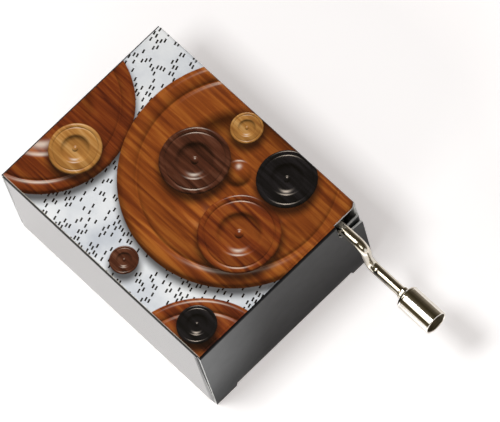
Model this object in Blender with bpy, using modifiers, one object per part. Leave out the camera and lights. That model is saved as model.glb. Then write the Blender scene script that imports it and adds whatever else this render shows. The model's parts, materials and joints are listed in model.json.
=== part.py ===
"""Hand-cranked music box: an 18-note movement in a tuck-end folding carton.

Frame: origin at the centre of the carton's underside, +X towards the crank, +Z up.
Sizes are real sizes in metres. Every object's name is the piece it stands for, and a
moving piece has its origin on the axis that it turns about.
"""
from math import asin, cos, pi, radians, sin, sqrt, tan

import bmesh
import bpy
from mathutils import Matrix, Vector

MM = 0.001

# Carton: one creased blank of coated board, closed by a tucked flap at each end
CARTON_LENGTH = 65.0 * MM
CARTON_WIDTH = 50.0 * MM
CARTON_HEIGHT = 30.0 * MM
BOARD = 0.5 * MM
FOLD_GAP = 0.3 * MM
CREASE_RADIUS = 0.6 * MM
GLUE_FLAP_HEIGHT = 9.0 * MM
CLOSURE_SIDE_GAP = 0.2 * MM
CLOSURE_TAPER = 1.4 * MM
TUCK_LENGTH = 11.0 * MM
TUCK_SHOULDER = 6.2 * MM
TUCK_CORNER = 4.0 * MM
SHOULDER_LIP = 0.2 * MM
DUST_FLAP_LENGTH = 20.0 * MM
DUST_FLAP_TAPER = radians(16.0)
DUST_FLAP_CLEARANCE = 0.6 * MM
CRANK_NOTCH_WIDTH = 7.4 * MM
CRANK_NOTCH_UNDER_ROD = 2.2 * MM
CRANK_NOTCH_FALL = 1.1 * MM
CRANK_NOTCH_RADIUS = 3.0 * MM
RELIEF_UNDER_ROD = 1.1 * MM
RELIEF_WIDTH = 8.6 * MM

# Crank: a bent rod with a hollow knob that spins on its end
ROD_RADIUS = 1.3 * MM
ROD_FROM_SIDE = 5.5 * MM
ROD_BELOW_TOP = 4.2 * MM
CRANK_INNER_REACH = 6.5 * MM
CRANK_THROW = 8.2 * MM
CRANK_ARM_LEAN = 0.6 * MM
CRANK_OUTER_REACH = 11.4 * MM
CRANK_BEND_RADIUS = 2.4 * MM
KNOB_RADIUS = 3.1 * MM
KNOB_LENGTH = 9.7 * MM
KNOB_WALL = 0.45 * MM
KNOB_BASE = 0.9 * MM
KNOB_SHOULDER = 0.8 * MM
KNOB_CLIP_RADIUS = 2.0 * MM
CLIP_THICKNESS = 0.5 * MM
CLIP_RADIUS = 2.3 * MM
CLIP_MOUTH = 1.6 * MM
ROD_PAST_CLIP = 0.8 * MM

# Worm drive: a single-start worm on the rod turns the wheel at the cylinder's end
MODULE = 0.65 * MM
WHEEL_TEETH = 20
WHEEL_WIDTH = 3.2 * MM
WORM_PITCH_RADIUS = 2.5 * MM
ADDENDUM = 0.5 * MM
DEDENDUM = 0.75 * MM
TOOTH_THICKNESS = 0.72 * MM
PRESSURE_ANGLE = radians(20.0)
WORM_TURNS = 4
WHEEL_COLLAR = 0.4 * MM
WHEEL_COLLAR_RADIUS = 4.6 * MM

# Cylinder: a brass tube set with pins, on a steel arbor
DRUM_FROM_END = 18.5 * MM
DRUM_RADIUS = 6.5 * MM
DRUM_WALL = 0.7 * MM
DRUM_LENGTH = 20.0 * MM
PIN_RADIUS = 0.24 * MM
PIN_HEIGHT = 0.85 * MM
PINS_PER_TRACK = 6
BEATS_PER_PIN = 10
CAP_FLANGE = 0.6 * MM
PLUG_DEPTH = 1.6 * MM
ARBOR_RADIUS = 1.0 * MM

# Comb: one tuned tooth for each track of pins
COMB_TEETH = 18
COMB_PITCH = 1.05 * MM
COMB_SLOT = 0.27 * MM
COMB_THICKNESS = 1.2 * MM
TOOTH_PLATE = 0.6 * MM
COMB_BASE = 7.0 * MM
LONGEST_TOOTH = 13.0 * MM
SHORTEST_TOOTH = 9.5 * MM
COMB_SIDE_MARGIN = 1.0 * MM
COMB_TIP_CLEARANCE = 0.15 * MM
COMB_WEIGHTS = 7
WEIGHT_FROM_TIP = 1.2 * MM
WEIGHT_LENGTH = 3.4 * MM
WEIGHT_DEPTH = 1.8 * MM

# Bedplate: a zinc casting that carries the comb and the cylinder
BED_THICKNESS = 2.5 * MM
DRUM_ABOVE_BED = 9.3 * MM
BED_CORNER = 2.0 * MM
BED_REAR_MARGIN = 4.5 * MM
BED_SIDE_MARGIN = 2.6 * MM
BED_FRONT_GAP = 2.0 * MM
LUG_THICKNESS = 2.0 * MM
LUG_WIDTH = 8.0 * MM
PLATFORM_TOP = 2.4 * MM
PLATFORM_WALL = 1.8 * MM
POST_RADIUS = 2.4 * MM
POST_SPACING = 11.0 * MM
EAR_THICKNESS = 2.0 * MM
EAR_SIDE_GAP = 0.7 * MM
BRACKET_WIDTH = 4.4 * MM
BRACKET_BASE = 1.5 * MM
BRACKET_FOOT = 4.8 * MM

# Bearings and screws
BUSH_RADIUS = 1.8 * MM
BUSH_FLANGE_RADIUS = 2.6 * MM
BUSH_FLANGE = 0.4 * MM
SCREW_RADIUS = 1.2 * MM
SCREW_HEAD_RADIUS = 2.1 * MM
SCREW_HEAD_HEIGHT = 1.4 * MM
SMALL_SCREW_RADIUS = 0.9 * MM
SMALL_SCREW_HEAD_RADIUS = 1.7 * MM
SMALL_SCREW_HEAD_HEIGHT = 1.1 * MM
SLOT_WIDTH = 0.5 * MM
SLOT_SHARE = 0.45

# Mounting board: it lifts the movement to the crank's height
BOARD_FROM_TUCK = 1.5 * MM
SUNK_HEAD_SHARE = 0.35

# Clearances
RUNNING_GAP = 0.1 * MM
SEAT_GAP = 0.3 * MM
WALL_GAP = 0.5 * MM
HAIR = 0.01 * MM

# Facets
ROUND_SIDES = 32
SMALL_SIDES = 16
ARC_STEPS = 4

# Places in the carton
END = CARTON_LENGTH / 2
SIDE = CARTON_WIDTH / 2
LEAF = BOARD + FOLD_GAP
TUBE_END = END - LEAF
WALL_END = TUBE_END - LEAF
INNER_SIDE = SIDE - BOARD
CEILING = CARTON_HEIGHT - BOARD
CLOSURE_HINGE_X = END - BOARD / 2
CLOSURE_HINGE_Z = CARTON_HEIGHT - BOARD / 2
TUCK_HINGE_X = END - BOARD
TUCK_HINGE_Z = LEAF + BOARD
TUCK_SWING = CLOSURE_HINGE_Z - TUCK_HINGE_Z
TUCK_RISE = TUCK_SWING - sqrt(TUCK_SWING ** 2 - TUCK_LENGTH ** 2)
DUST_FLAP_BOTTOM = TUCK_HINGE_Z + TUCK_RISE + DUST_FLAP_CLEARANCE
DUST_HINGE_X = TUBE_END - BOARD / 2
DUST_HINGE_Y = SIDE - BOARD / 2

# Places in the movement
ROD_Y = SIDE - ROD_FROM_SIDE
ROD_Z = CARTON_HEIGHT - ROD_BELOW_TOP
DRUM_X = END - DRUM_FROM_END
WHEEL_RADIUS = WHEEL_TEETH * MODULE / 2
DRUM_Z = ROD_Z - WHEEL_RADIUS - WORM_PITCH_RADIUS
DRUM_RIGHT = ROD_Y - WHEEL_WIDTH / 2 - WHEEL_COLLAR - SEAT_GAP
DRUM_LEFT = DRUM_RIGHT - DRUM_LENGTH
DRUM_Y = (DRUM_RIGHT + DRUM_LEFT) / 2
DRUM_BORE = DRUM_RADIUS - DRUM_WALL
BED_TOP = DRUM_Z - DRUM_ABOVE_BED
BED_BOTTOM = BED_TOP - BED_THICKNESS
BOARD_BOTTOM = LEAF
BOARD_TOP = BED_BOTTOM - SEAT_GAP
SUNK_HEAD_HEIGHT = SUNK_HEAD_SHARE * (BOARD_TOP - BOARD_BOTTOM)
CAP_OUTER = DRUM_LEFT - SEAT_GAP - CAP_FLANGE
LEFT_LUG_INNER = CAP_OUTER - SEAT_GAP - BUSH_FLANGE - RUNNING_GAP
LEFT_LUG_OUTER = LEFT_LUG_INNER - LUG_THICKNESS
RIGHT_LUG_INNER = ROD_Y + WHEEL_WIDTH / 2 + SEAT_GAP + BUSH_FLANGE + RUNNING_GAP
RIGHT_LUG_OUTER = INNER_SIDE - WALL_GAP
COMB_TOP = DRUM_Z + TOOTH_PLATE
COMB_BOTTOM = COMB_TOP - COMB_THICKNESS
COMB_TIP_X = DRUM_X - DRUM_RADIUS - PIN_HEIGHT - COMB_TIP_CLEARANCE
COMB_FRONT = COMB_TIP_X - LONGEST_TOOTH
COMB_REAR = COMB_FRONT - COMB_BASE
COMB_X = (COMB_FRONT + COMB_REAR) / 2
PLATFORM_Z = COMB_BOTTOM - SEAT_GAP
BED_REAR = COMB_REAR - BED_REAR_MARGIN
BED_FRONT = WALL_END - BED_FRONT_GAP
BED_LEFT = LEFT_LUG_OUTER - BED_SIDE_MARGIN
BED_RIGHT = RIGHT_LUG_OUTER
WHEEL_TIP_RADIUS = WHEEL_RADIUS + ADDENDUM
FRONT_EAR_X = DRUM_X + WHEEL_TIP_RADIUS + EAR_SIDE_GAP + EAR_THICKNESS / 2
REAR_EAR_X = DRUM_X - WHEEL_TIP_RADIUS - EAR_SIDE_GAP - EAR_THICKNESS / 2
BRACKET_BOTTOM = BED_TOP + SEAT_GAP
BRACKET_TOP = BRACKET_BOTTOM + BRACKET_BASE
BRACKET_FRONT = FRONT_EAR_X + EAR_THICKNESS / 2 + BRACKET_FOOT
BRACKET_REAR = REAR_EAR_X - EAR_THICKNESS / 2 - BRACKET_FOOT
BRACKET_SCREWS = (BRACKET_FRONT - BRACKET_FOOT / 2, BRACKET_REAR + BRACKET_FOOT / 2)
CLIP_X = REAR_EAR_X - EAR_THICKNESS / 2 - SEAT_GAP - CLIP_THICKNESS
ROD_REAR = CLIP_X - ROD_PAST_CLIP
KNOB_Z = ROD_Z - CRANK_THROW
KNOB_X = END + CRANK_INNER_REACH + CRANK_ARM_LEAN + CRANK_OUTER_REACH
KNOB_CLIP_X = KNOB_X + KNOB_BASE + SEAT_GAP
ROD_FRONT = KNOB_CLIP_X + CLIP_THICKNESS + ROD_PAST_CLIP

# Turns that lay a shape's own axes along the row's: local Z ends up on the named axis
ALONG_X = (0.0, pi / 2, 0.0)
ALONG_Y = (-pi / 2, 0.0, 0.0)
ALONG_Z = (0.0, 0.0, 0.0)
UPSIDE_DOWN = (pi, 0.0, 0.0)
FACING_X = (pi / 2, 0.0, pi / 2)
FACING_Y = (pi / 2, 0.0, 0.0)

# Finishes: colour, roughness, metallic
FINISHES = {
    "black_coated_board": ((0.012, 0.012, 0.013), 0.25, 0.0),
    "nickel_plated_steel": ((0.72, 0.69, 0.62), 0.16, 1.0),
    "blued_steel": ((0.30, 0.31, 0.33), 0.32, 1.0),
    "ground_steel": ((0.62, 0.62, 0.62), 0.28, 1.0),
    "zinc_casting": ((0.50, 0.50, 0.51), 0.5, 1.0),
    "brass": ((0.78, 0.57, 0.24), 0.3, 1.0),
    "white_acetal": ((0.80, 0.79, 0.75), 0.45, 0.0),
    "fibreboard": ((0.42, 0.28, 0.16), 0.85, 0.0),
}


def make_collection(name):
    """A new collection linked into the scene."""
    collection = bpy.data.collections.new(name)
    bpy.context.scene.collection.children.link(collection)
    return collection


def clear_scene():
    """Remove every object that is already in the file."""
    for obj in list(bpy.data.objects):
        bpy.data.objects.remove(obj, do_unlink=True)


def dress(obj, finish):
    """Give the object a material of its own in one of the finishes."""
    colour, roughness, metallic = FINISHES[finish]
    material = bpy.data.materials.new(f"{obj.name}_{finish}")
    material.use_nodes = True
    shader = material.node_tree.nodes["Principled BSDF"]
    shader.inputs["Base Color"].default_value = (*colour, 1.0)
    shader.inputs["Roughness"].default_value = roughness
    shader.inputs["Metallic"].default_value = metallic
    obj.data.materials.clear()
    obj.data.materials.append(material)


def place(name, data, location, rotation):
    """A new object among the parts."""
    obj = bpy.data.objects.new(name, data)
    obj.location = location
    obj.rotation_euler = rotation
    PARTS.objects.link(obj)
    return obj


def circle(radius, sides, centre=(0.0, 0.0)):
    """Points of a circle in a flat outline."""
    points = []
    for index in range(sides):
        angle = 2 * pi * index / sides
        points.append(Vector((centre[0] + radius * cos(angle), centre[1] + radius * sin(angle))))
    return points


def rounded(corners, radii, closed=True):
    """Corner points, each replaced by an arc of its radius. A radius of 0 keeps the corner."""
    points = []
    count = len(corners)
    for index, corner in enumerate(corners):
        radius = radii[index] if isinstance(radii, (list, tuple)) else radii
        is_end = not closed and index in (0, count - 1)
        if is_end or radius == 0:
            points.append(corner.copy())
            continue
        before = (corners[index - 1] - corner).normalized()
        after = (corners[(index + 1) % count] - corner).normalized()
        half = before.angle(after) / 2
        centre = corner + (before + after).normalized() * (radius / sin(half))
        first = (corner + before * (radius / tan(half)) - centre) / radius
        last = (corner + after * (radius / tan(half)) - centre) / radius
        sweep = pi - 2 * half
        side = (last - first * cos(sweep)) / sin(sweep)
        for step in range(ARC_STEPS + 1):
            angle = sweep * step / ARC_STEPS
            points.append(centre + (first * cos(angle) + side * sin(angle)) * radius)
    return points


def plate(name, loops, thickness, finish, location, rotation):
    """A flat piece: outlines and holes in one 2D curve, thickened about its plane."""
    curve = bpy.data.curves.new(name, "CURVE")
    curve.dimensions = "2D"
    curve.fill_mode = "BOTH"
    curve.extrude = thickness / 2
    for loop in loops:
        spline = curve.splines.new("POLY")
        spline.points.add(len(loop) - 1)
        for point, spot in zip(spline.points, loop):
            point.co = (spot[0], spot[1], 0.0, 1.0)
        spline.use_cyclic_u = True
    obj = place(name, curve, location, rotation)
    dress(obj, finish)
    return obj


def rod(name, points, radius, sides, finish, location, rotation=ALONG_Z):
    """A round rod or wire along a line of points."""
    curve = bpy.data.curves.new(name, "CURVE")
    curve.dimensions = "3D"
    curve.bevel_depth = radius
    curve.bevel_resolution = (sides - 4) // 2
    curve.use_fill_caps = True
    spline = curve.splines.new("POLY")
    spline.points.add(len(points) - 1)
    for point, spot in zip(spline.points, points):
        point.co = (*spot, 1.0)
    obj = place(name, curve, location, rotation)
    dress(obj, finish)
    return obj


def turned(name, profile, finish, location, rotation, ring=False, sides=ROUND_SIDES):
    """A turned piece: (radius, height) points down its outer side, closed if it is a ring."""
    mesh = bpy.data.meshes.new(name)
    edges = [(index, index + 1) for index in range(len(profile) - 1)]
    if ring:
        edges.append((len(profile) - 1, 0))
    mesh.from_pydata([(radius, 0.0, height) for radius, height in profile], edges, [])
    obj = place(name, mesh, location, rotation)
    turn = obj.modifiers.new("Turn", "SCREW")
    turn.axis = "Z"
    turn.steps = sides
    turn.render_steps = sides
    turn.use_merge_vertices = True
    turn.merge_threshold = HAIR / 10
    dress(obj, finish)
    return obj


def loft(name, rings, finish, location, rotation):
    """A closed band of rings, each joined to the next and the last to the first."""
    shape = bmesh.new()
    rows = [[shape.verts.new(point) for point in ring] for ring in rings]
    for index, row in enumerate(rows):
        following = rows[(index + 1) % len(rows)]
        for spot in range(len(row)):
            beside = (spot + 1) % len(row)
            shape.faces.new((row[spot], row[beside], following[beside], following[spot]))
    bmesh.ops.recalc_face_normals(shape, faces=shape.faces)
    mesh = bpy.data.meshes.new(name)
    shape.to_mesh(mesh)
    shape.free()
    obj = place(name, mesh, location, rotation)
    dress(obj, finish)
    return obj


def as_mesh(obj):
    """The curve object turned into a welded mesh object of the same name and place."""
    bpy.context.view_layer.update()
    evaluated = obj.evaluated_get(bpy.context.evaluated_depsgraph_get())
    mesh = bpy.data.meshes.new_from_object(evaluated)
    shape = bmesh.new()
    shape.from_mesh(mesh)
    bmesh.ops.remove_doubles(shape, verts=shape.verts, dist=HAIR / 10)
    shape.to_mesh(mesh)
    shape.free()
    name = obj.name
    matrix = obj.matrix_world.copy()
    bpy.data.objects.remove(obj, do_unlink=True)
    solid = bpy.data.objects.new(name, mesh)
    PARTS.objects.link(solid)
    solid.matrix_world = matrix
    return solid


def block(name, low, high):
    """A box between two opposite corners, for joining or cutting."""
    mesh = bpy.data.meshes.new(name)
    shape = bmesh.new()
    bmesh.ops.create_cube(shape, size=1.0)
    size = [abs(a - b) for a, b in zip(high, low)]
    bmesh.ops.scale(shape, vec=size, verts=shape.verts)
    shape.to_mesh(mesh)
    shape.free()
    return place(name, mesh, (Vector(low) + Vector(high)) / 2, ALONG_Z)


def drill(name, radius, low, high, rotation=ALONG_Z, sides=SMALL_SIDES):
    """A round cutter or post between two points of its axis."""
    mesh = bpy.data.meshes.new(name)
    shape = bmesh.new()
    depth = (Vector(high) - Vector(low)).length
    bmesh.ops.create_cone(
        shape, cap_ends=True, segments=sides, radius1=radius, radius2=radius, depth=depth)
    shape.to_mesh(mesh)
    shape.free()
    return place(name, mesh, (Vector(low) + Vector(high)) / 2, rotation)


def combine(obj, other, operation):
    """Join the other solid to the object or cut it away. The other becomes a hidden tool."""
    for collection in list(other.users_collection):
        collection.objects.unlink(other)
    CUTTERS.objects.link(other)
    other.hide_render = True
    other.display_type = "WIRE"
    step = obj.modifiers.new(other.name, "BOOLEAN")
    step.operation = operation
    step.solver = "EXACT"
    step.object = other


def shade_round(obj):
    """Smooth shading with edges kept sharp."""
    if obj.type == "MESH":
        obj.data.shade_smooth()
        obj.data.set_sharp_from_angle(angle=radians(35.0))


# Carton

def carton_tube():
    """Top, bottom and side panels in one strip. The bottom turns up in the glue flap."""
    inner = SIDE - LEAF
    corners = [
        Vector((-SIDE, 0.0)),
        Vector((-SIDE, CARTON_HEIGHT)),
        Vector((SIDE, CARTON_HEIGHT)),
        Vector((SIDE, 0.0)),
        Vector((-inner, 0.0)),
        Vector((-inner, GLUE_FLAP_HEIGHT)),
    ]
    section = rounded(corners, CREASE_RADIUS, closed=False)
    mesh = bpy.data.meshes.new("carton_tube")
    points = []
    for x in (-TUBE_END, TUBE_END):
        points.extend((x, y, z) for y, z in section)
    count = len(section)
    faces = [(spot, spot + 1, spot + 1 + count, spot + count) for spot in range(count - 1)]
    mesh.from_pydata(points, [], faces)
    tube = place("carton_tube", mesh, (0.0, 0.0, 0.0), ALONG_Z)
    wall = tube.modifiers.new("Board", "SOLIDIFY")
    wall.thickness = BOARD
    wall.offset = 1.0
    wall.use_even_offset = True
    for end in (-1, 1):
        for side in (-1, 1):
            near = Vector((end * WALL_END, side * (inner - LEAF), BOARD + HAIR))
            far = Vector((end * END, side * (SIDE + LEAF), CEILING - HAIR))
            cutter = block(f"wall_trim_{end}_{side}", near, far)
            combine(tube, cutter, "DIFFERENCE")
    dress(tube, "black_coated_board")
    return tube


def closure_outline(notched):
    """Closure panel seen from outside, from its hinge at the top crease down to the tuck."""
    top = BOARD / 2
    half_top = SIDE - CLOSURE_SIDE_GAP
    half_low = half_top - CLOSURE_TAPER
    fold = LEAF - CLOSURE_HINGE_Z
    lip = SHOULDER_LIP - CLOSURE_HINGE_Z
    tongue = half_low - TUCK_SHOULDER
    corners = [Vector((-half_top, top))]
    radii = [0]
    if notched:
        notch_left = SIDE - CRANK_NOTCH_WIDTH
        notch_high = ROD_Z - ROD_RADIUS - CRANK_NOTCH_UNDER_ROD - CLOSURE_HINGE_Z
        notch_low = notch_high - CRANK_NOTCH_FALL
        lean = (top - notch_low) / (top - lip) * (half_top - half_low)
        corners += [Vector((half_low, lip)), Vector((half_top - lean, notch_low))]
        corners += [Vector((notch_left, notch_high)), Vector((notch_left, top))]
        radii += [0, CREASE_RADIUS, CRANK_NOTCH_RADIUS, 0]
        start = 1
    else:
        corners += [Vector((half_low, lip)), Vector((half_top, top))]
        radii += [0, 0]
        start = 1
    shoulders = [Vector((-half_low, lip)), Vector((-tongue, lip)), Vector((-tongue, fold))]
    shoulders += [Vector((tongue, fold)), Vector((tongue, lip))]
    corners[start:start] = shoulders
    radii[start:start] = [0] * len(shoulders)
    return rounded(corners, radii)


def tuck_half_width():
    """Half of the tuck flap's width, which is narrower than the closure by its shoulders."""
    return SIDE - CLOSURE_SIDE_GAP - CLOSURE_TAPER - TUCK_SHOULDER - CLOSURE_SIDE_GAP


def closures(end_name, end):
    """Closure panel and tuck flap at one end. end is 1 at the crank and -1 at the rear.

    Both open about their creases, and the tuck flap's pivot is at the crease's inner corner.
    """
    plate(
        f"{end_name}_closure", [closure_outline(notched=end > 0)], BOARD, "black_coated_board",
        (end * CLOSURE_HINGE_X, 0.0, CLOSURE_HINGE_Z), FACING_X)
    half = tuck_half_width()
    root = -end * FOLD_GAP
    tip = root - end * TUCK_LENGTH
    corners = [Vector((root, -half)), Vector((root, half)), Vector((tip, half)), Vector((tip, -half))]
    outline = rounded(corners, [0, 0, TUCK_CORNER, TUCK_CORNER])
    tuck = as_mesh(plate(
        f"{end_name}_tuck_flap", [outline], BOARD, "black_coated_board",
        (end * TUCK_HINGE_X, 0.0, TUCK_HINGE_Z), ALONG_Z))
    # The fold's pivot is on the flap's upper face, so the board lies below its origin
    tuck.data.transform(Matrix.Translation((0.0, 0.0, -BOARD / 2)))


def dust_flap(end_name, end, side_name, side):
    """Dust flap folded in from one side panel, behind the closure and clear of its tuck flap.

    The outline is drawn by its distance in from the carton's side and its height.
    """
    top = CEILING - FOLD_GAP
    low = LEAF
    tip = DUST_FLAP_LENGTH
    shoulder = SIDE - tuck_half_width() - LEAF
    drop = (tip - 2 * LEAF) * tan(DUST_FLAP_TAPER)
    if end > 0 and side > 0:
        relief = ROD_Z - ROD_RADIUS - RELIEF_UNDER_ROD
        taper_here = top - (RELIEF_WIDTH - 2 * LEAF) * tan(DUST_FLAP_TAPER)
        corners = [(0.0, low), (0.0, relief), (RELIEF_WIDTH, relief), (RELIEF_WIDTH, taper_here)]
    else:
        corners = [(0.0, low), (0.0, top), (2 * LEAF, top)]
    radii = [0] * len(corners) + [1.5 * BOARD, 3 * BOARD, BOARD, BOARD]
    corners += [
        (tip, top - drop), (tip, DUST_FLAP_BOTTOM + drop / 2),
        (shoulder, DUST_FLAP_BOTTOM), (shoulder, low)]
    outline = [Vector((side * (SIDE - inward - DUST_HINGE_Y), z)) for inward, z in corners]
    plate(
        f"{end_name}_dust_flap_{side_name}", [rounded(outline, radii)], BOARD,
        "black_coated_board", (end * DUST_HINGE_X, side * DUST_HINGE_Y, 0.0), FACING_X)


def carton():
    """The folded carton."""
    carton_tube()
    for end_name, end in (("front", 1), ("rear", -1)):
        closures(end_name, end)
        for side_name, side in (("left", -1), ("right", 1)):
            dust_flap(end_name, end, side_name, side)


# Movement

def tombstone(half_width, height, hole_radius):
    """Outline of an upright: its hole at the origin, round above it and square below."""
    steps = 2 * ARC_STEPS
    outline = []
    for step in range(steps + 1):
        angle = pi * step / steps
        outline.append(Vector((half_width * cos(angle), half_width * sin(angle))))
    outline += [Vector((-half_width, -height)), Vector((half_width, -height))]
    return [outline, circle(hole_radius, ROUND_SIDES)]


def screw_places():
    """Where the comb screws and, below them, two of the board screws stand."""
    return [DRUM_Y - POST_SPACING / 2, DRUM_Y + POST_SPACING / 2]


def mounting_board():
    """Fibreboard under the movement, with the screw heads sunk in its underside."""
    front = TUBE_END - TUCK_LENGTH - BOARD_FROM_TUCK
    left = -SIDE + 2 * LEAF
    right = INNER_SIDE - FOLD_GAP
    board = block("mounting_board", (-front, left, BOARD_BOTTOM), (front, right, BOARD_TOP))
    dress(board, "fibreboard")
    for index, (x, y) in enumerate(board_screw_places()):
        top = BOARD_BOTTOM + SUNK_HEAD_HEIGHT + SEAT_GAP
        sink = drill(
            f"board_sink_{index}", SCREW_HEAD_RADIUS + SEAT_GAP,
            (x, y, BOARD_BOTTOM - LEAF), (x, y, top), sides=ROUND_SIDES)
        hole = drill(
            f"board_hole_{index}", SCREW_RADIUS + SEAT_GAP,
            (x, y, BOARD_BOTTOM), (x, y, BOARD_TOP + LEAF))
        combine(board, sink, "DIFFERENCE")
        combine(board, hole, "DIFFERENCE")


def board_screw_places():
    """Two screws under the comb and one under the cylinder."""
    return [(COMB_X, y) for y in screw_places()] + [(DRUM_X, DRUM_Y)]


def bedplate():
    """Base casting: plate, hollow comb platform with two posts, and two bearing lugs."""
    corners = [
        Vector((BED_REAR, BED_LEFT)),
        Vector((BED_FRONT, BED_LEFT)),
        Vector((BED_FRONT, BED_RIGHT)),
        Vector((BED_REAR, BED_RIGHT)),
    ]
    bed = as_mesh(plate(
        "bedplate", [rounded(corners, BED_CORNER)], BED_THICKNESS, "zinc_casting",
        (0.0, 0.0, (BED_TOP + BED_BOTTOM) / 2), ALONG_Z))
    half = comb_half_width()
    sunk = BED_TOP - BED_THICKNESS / 2
    platform = block(
        "platform", (COMB_REAR, DRUM_Y - half, sunk), (COMB_FRONT, DRUM_Y + half, PLATFORM_Z))
    combine(bed, platform, "UNION")
    hollow = block(
        "platform_hollow",
        (COMB_REAR - PLATFORM_WALL, DRUM_Y - half + PLATFORM_WALL, BED_TOP),
        (COMB_FRONT - PLATFORM_WALL, DRUM_Y + half - PLATFORM_WALL, PLATFORM_Z - PLATFORM_TOP))
    combine(bed, hollow, "DIFFERENCE")
    for index, y in enumerate(screw_places()):
        post = drill(
            f"comb_post_{index}", POST_RADIUS,
            (COMB_X, y, sunk), (COMB_X, y, PLATFORM_Z - PLATFORM_TOP / 2), sides=ROUND_SIDES)
        combine(bed, post, "UNION")
    for lug_name, inner, outer in (
            ("left", LEFT_LUG_INNER, LEFT_LUG_OUTER), ("right", RIGHT_LUG_INNER, RIGHT_LUG_OUTER)):
        lug = as_mesh(plate(
            f"{lug_name}_lug",
            tombstone(LUG_WIDTH / 2, DRUM_Z - sunk, BUSH_RADIUS + RUNNING_GAP),
            abs(outer - inner), "zinc_casting",
            (DRUM_X, (inner + outer) / 2, DRUM_Z), FACING_Y))
        combine(bed, lug, "UNION")
    middle = (COMB_BOTTOM + BED_BOTTOM) / 2
    for index, y in enumerate(screw_places()):
        upper = drill(
            f"comb_thread_{index}", SCREW_RADIUS + RUNNING_GAP,
            (COMB_X, y, middle + SEAT_GAP), (COMB_X, y, COMB_TOP))
        combine(bed, upper, "DIFFERENCE")
        lower = drill(
            f"board_thread_{index}", SCREW_RADIUS + RUNNING_GAP,
            (COMB_X, y, BOARD_BOTTOM), (COMB_X, y, middle - SEAT_GAP))
        combine(bed, lower, "DIFFERENCE")
    front = drill(
        "front_thread", SCREW_RADIUS + RUNNING_GAP,
        (DRUM_X, DRUM_Y, BOARD_BOTTOM), (DRUM_X, DRUM_Y, BED_TOP + SEAT_GAP))
    combine(bed, front, "DIFFERENCE")
    for index, x in enumerate(BRACKET_SCREWS):
        hole = drill(
            f"bracket_thread_{index}", SMALL_SCREW_RADIUS + RUNNING_GAP,
            (x, ROD_Y, BOARD_TOP), (x, ROD_Y, BRACKET_TOP))
        combine(bed, hole, "DIFFERENCE")
    dress(bed, "zinc_casting")


def crank_bracket():
    """U-shaped bracket with an ear at each side of the worm, in which the rod turns."""
    half = BRACKET_WIDTH / 2
    corners = [
        Vector((BRACKET_REAR, -half)),
        Vector((BRACKET_FRONT, -half)),
        Vector((BRACKET_FRONT, half)),
        Vector((BRACKET_REAR, half)),
    ]
    holes = [
        circle(SMALL_SCREW_RADIUS + RUNNING_GAP, SMALL_SIDES, (x, 0.0)) for x in BRACKET_SCREWS]
    base = as_mesh(plate(
        "crank_bracket", [rounded(corners, half / 2)] + holes, BRACKET_BASE, "ground_steel",
        (0.0, ROD_Y, (BRACKET_TOP + BRACKET_BOTTOM) / 2), ALONG_Z))
    sunk = (BRACKET_TOP + BRACKET_BOTTOM) / 2
    for name, x in (("front_ear", FRONT_EAR_X), ("rear_ear", REAR_EAR_X)):
        ear = as_mesh(plate(
            name, tombstone(half - HAIR, ROD_Z - sunk, ROD_RADIUS + RUNNING_GAP), EAR_THICKNESS,
            "ground_steel", (x, ROD_Y, ROD_Z), FACING_X))
        combine(base, ear, "UNION")
    dress(base, "ground_steel")


def screw(name, location, radius, head_radius, head_height, length, slot_turn, rotation=ALONG_Z):
    """A slotted screw along Z. The origin is under its head."""
    profile = [
        (0.0, head_height),
        (head_radius * 0.8, head_height),
        (head_radius, head_height * 0.75),
        (head_radius, 0.0),
        (radius, 0.0),
        (radius, -length + radius / 2),
        (radius / 2, -length),
        (0.0, -length),
    ]
    made = turned(name, profile, "nickel_plated_steel", location, rotation, sides=SMALL_SIDES)
    up = -1 if rotation == UPSIDE_DOWN else 1
    x, y, z = location
    slot = block(
        f"{name}_slot",
        (x - 2 * head_radius, y - SLOT_WIDTH / 2, z + up * head_height * (1 - SLOT_SHARE)),
        (x + 2 * head_radius, y + SLOT_WIDTH / 2, z + up * head_height * (1 + SLOT_SHARE)))
    slot.rotation_euler = (0.0, 0.0, slot_turn)
    combine(made, slot, "DIFFERENCE")


def screws():
    """Comb screws, bracket screws and board screws, each set numbered from 1."""
    for index, y in enumerate(screw_places(), 1):
        screw(
            f"comb_screw_{index}", (COMB_X, y, COMB_TOP + SEAT_GAP), SCREW_RADIUS,
            SCREW_HEAD_RADIUS, SCREW_HEAD_HEIGHT, COMB_THICKNESS + PLATFORM_TOP + SEAT_GAP,
            radians(35.0 * index))
    for index, x in enumerate(BRACKET_SCREWS, 1):
        screw(
            f"bracket_screw_{index}", (x, ROD_Y, BRACKET_TOP + SEAT_GAP), SMALL_SCREW_RADIUS,
            SMALL_SCREW_HEAD_RADIUS, SMALL_SCREW_HEAD_HEIGHT, BRACKET_BASE + BED_THICKNESS,
            radians(-25.0 * index))
    for index, (x, y) in enumerate(board_screw_places(), 1):
        seat = BOARD_BOTTOM + SUNK_HEAD_HEIGHT
        screw(
            f"board_screw_{index}", (x, y, seat), SCREW_RADIUS, SCREW_HEAD_RADIUS,
            SUNK_HEAD_HEIGHT, BED_TOP - SEAT_GAP - seat, radians(50.0 * index), UPSIDE_DOWN)


def comb_half_width():
    """Half of the comb's width along the cylinder."""
    return (COMB_TEETH - 1) * COMB_PITCH / 2 + COMB_PITCH / 2 - COMB_SLOT / 2 + COMB_SIDE_MARGIN


def track_places():
    """The y of each tooth and of its track of pins, from the cylinder's middle."""
    return [(index - (COMB_TEETH - 1) / 2) * COMB_PITCH for index in range(COMB_TEETH)]


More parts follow.
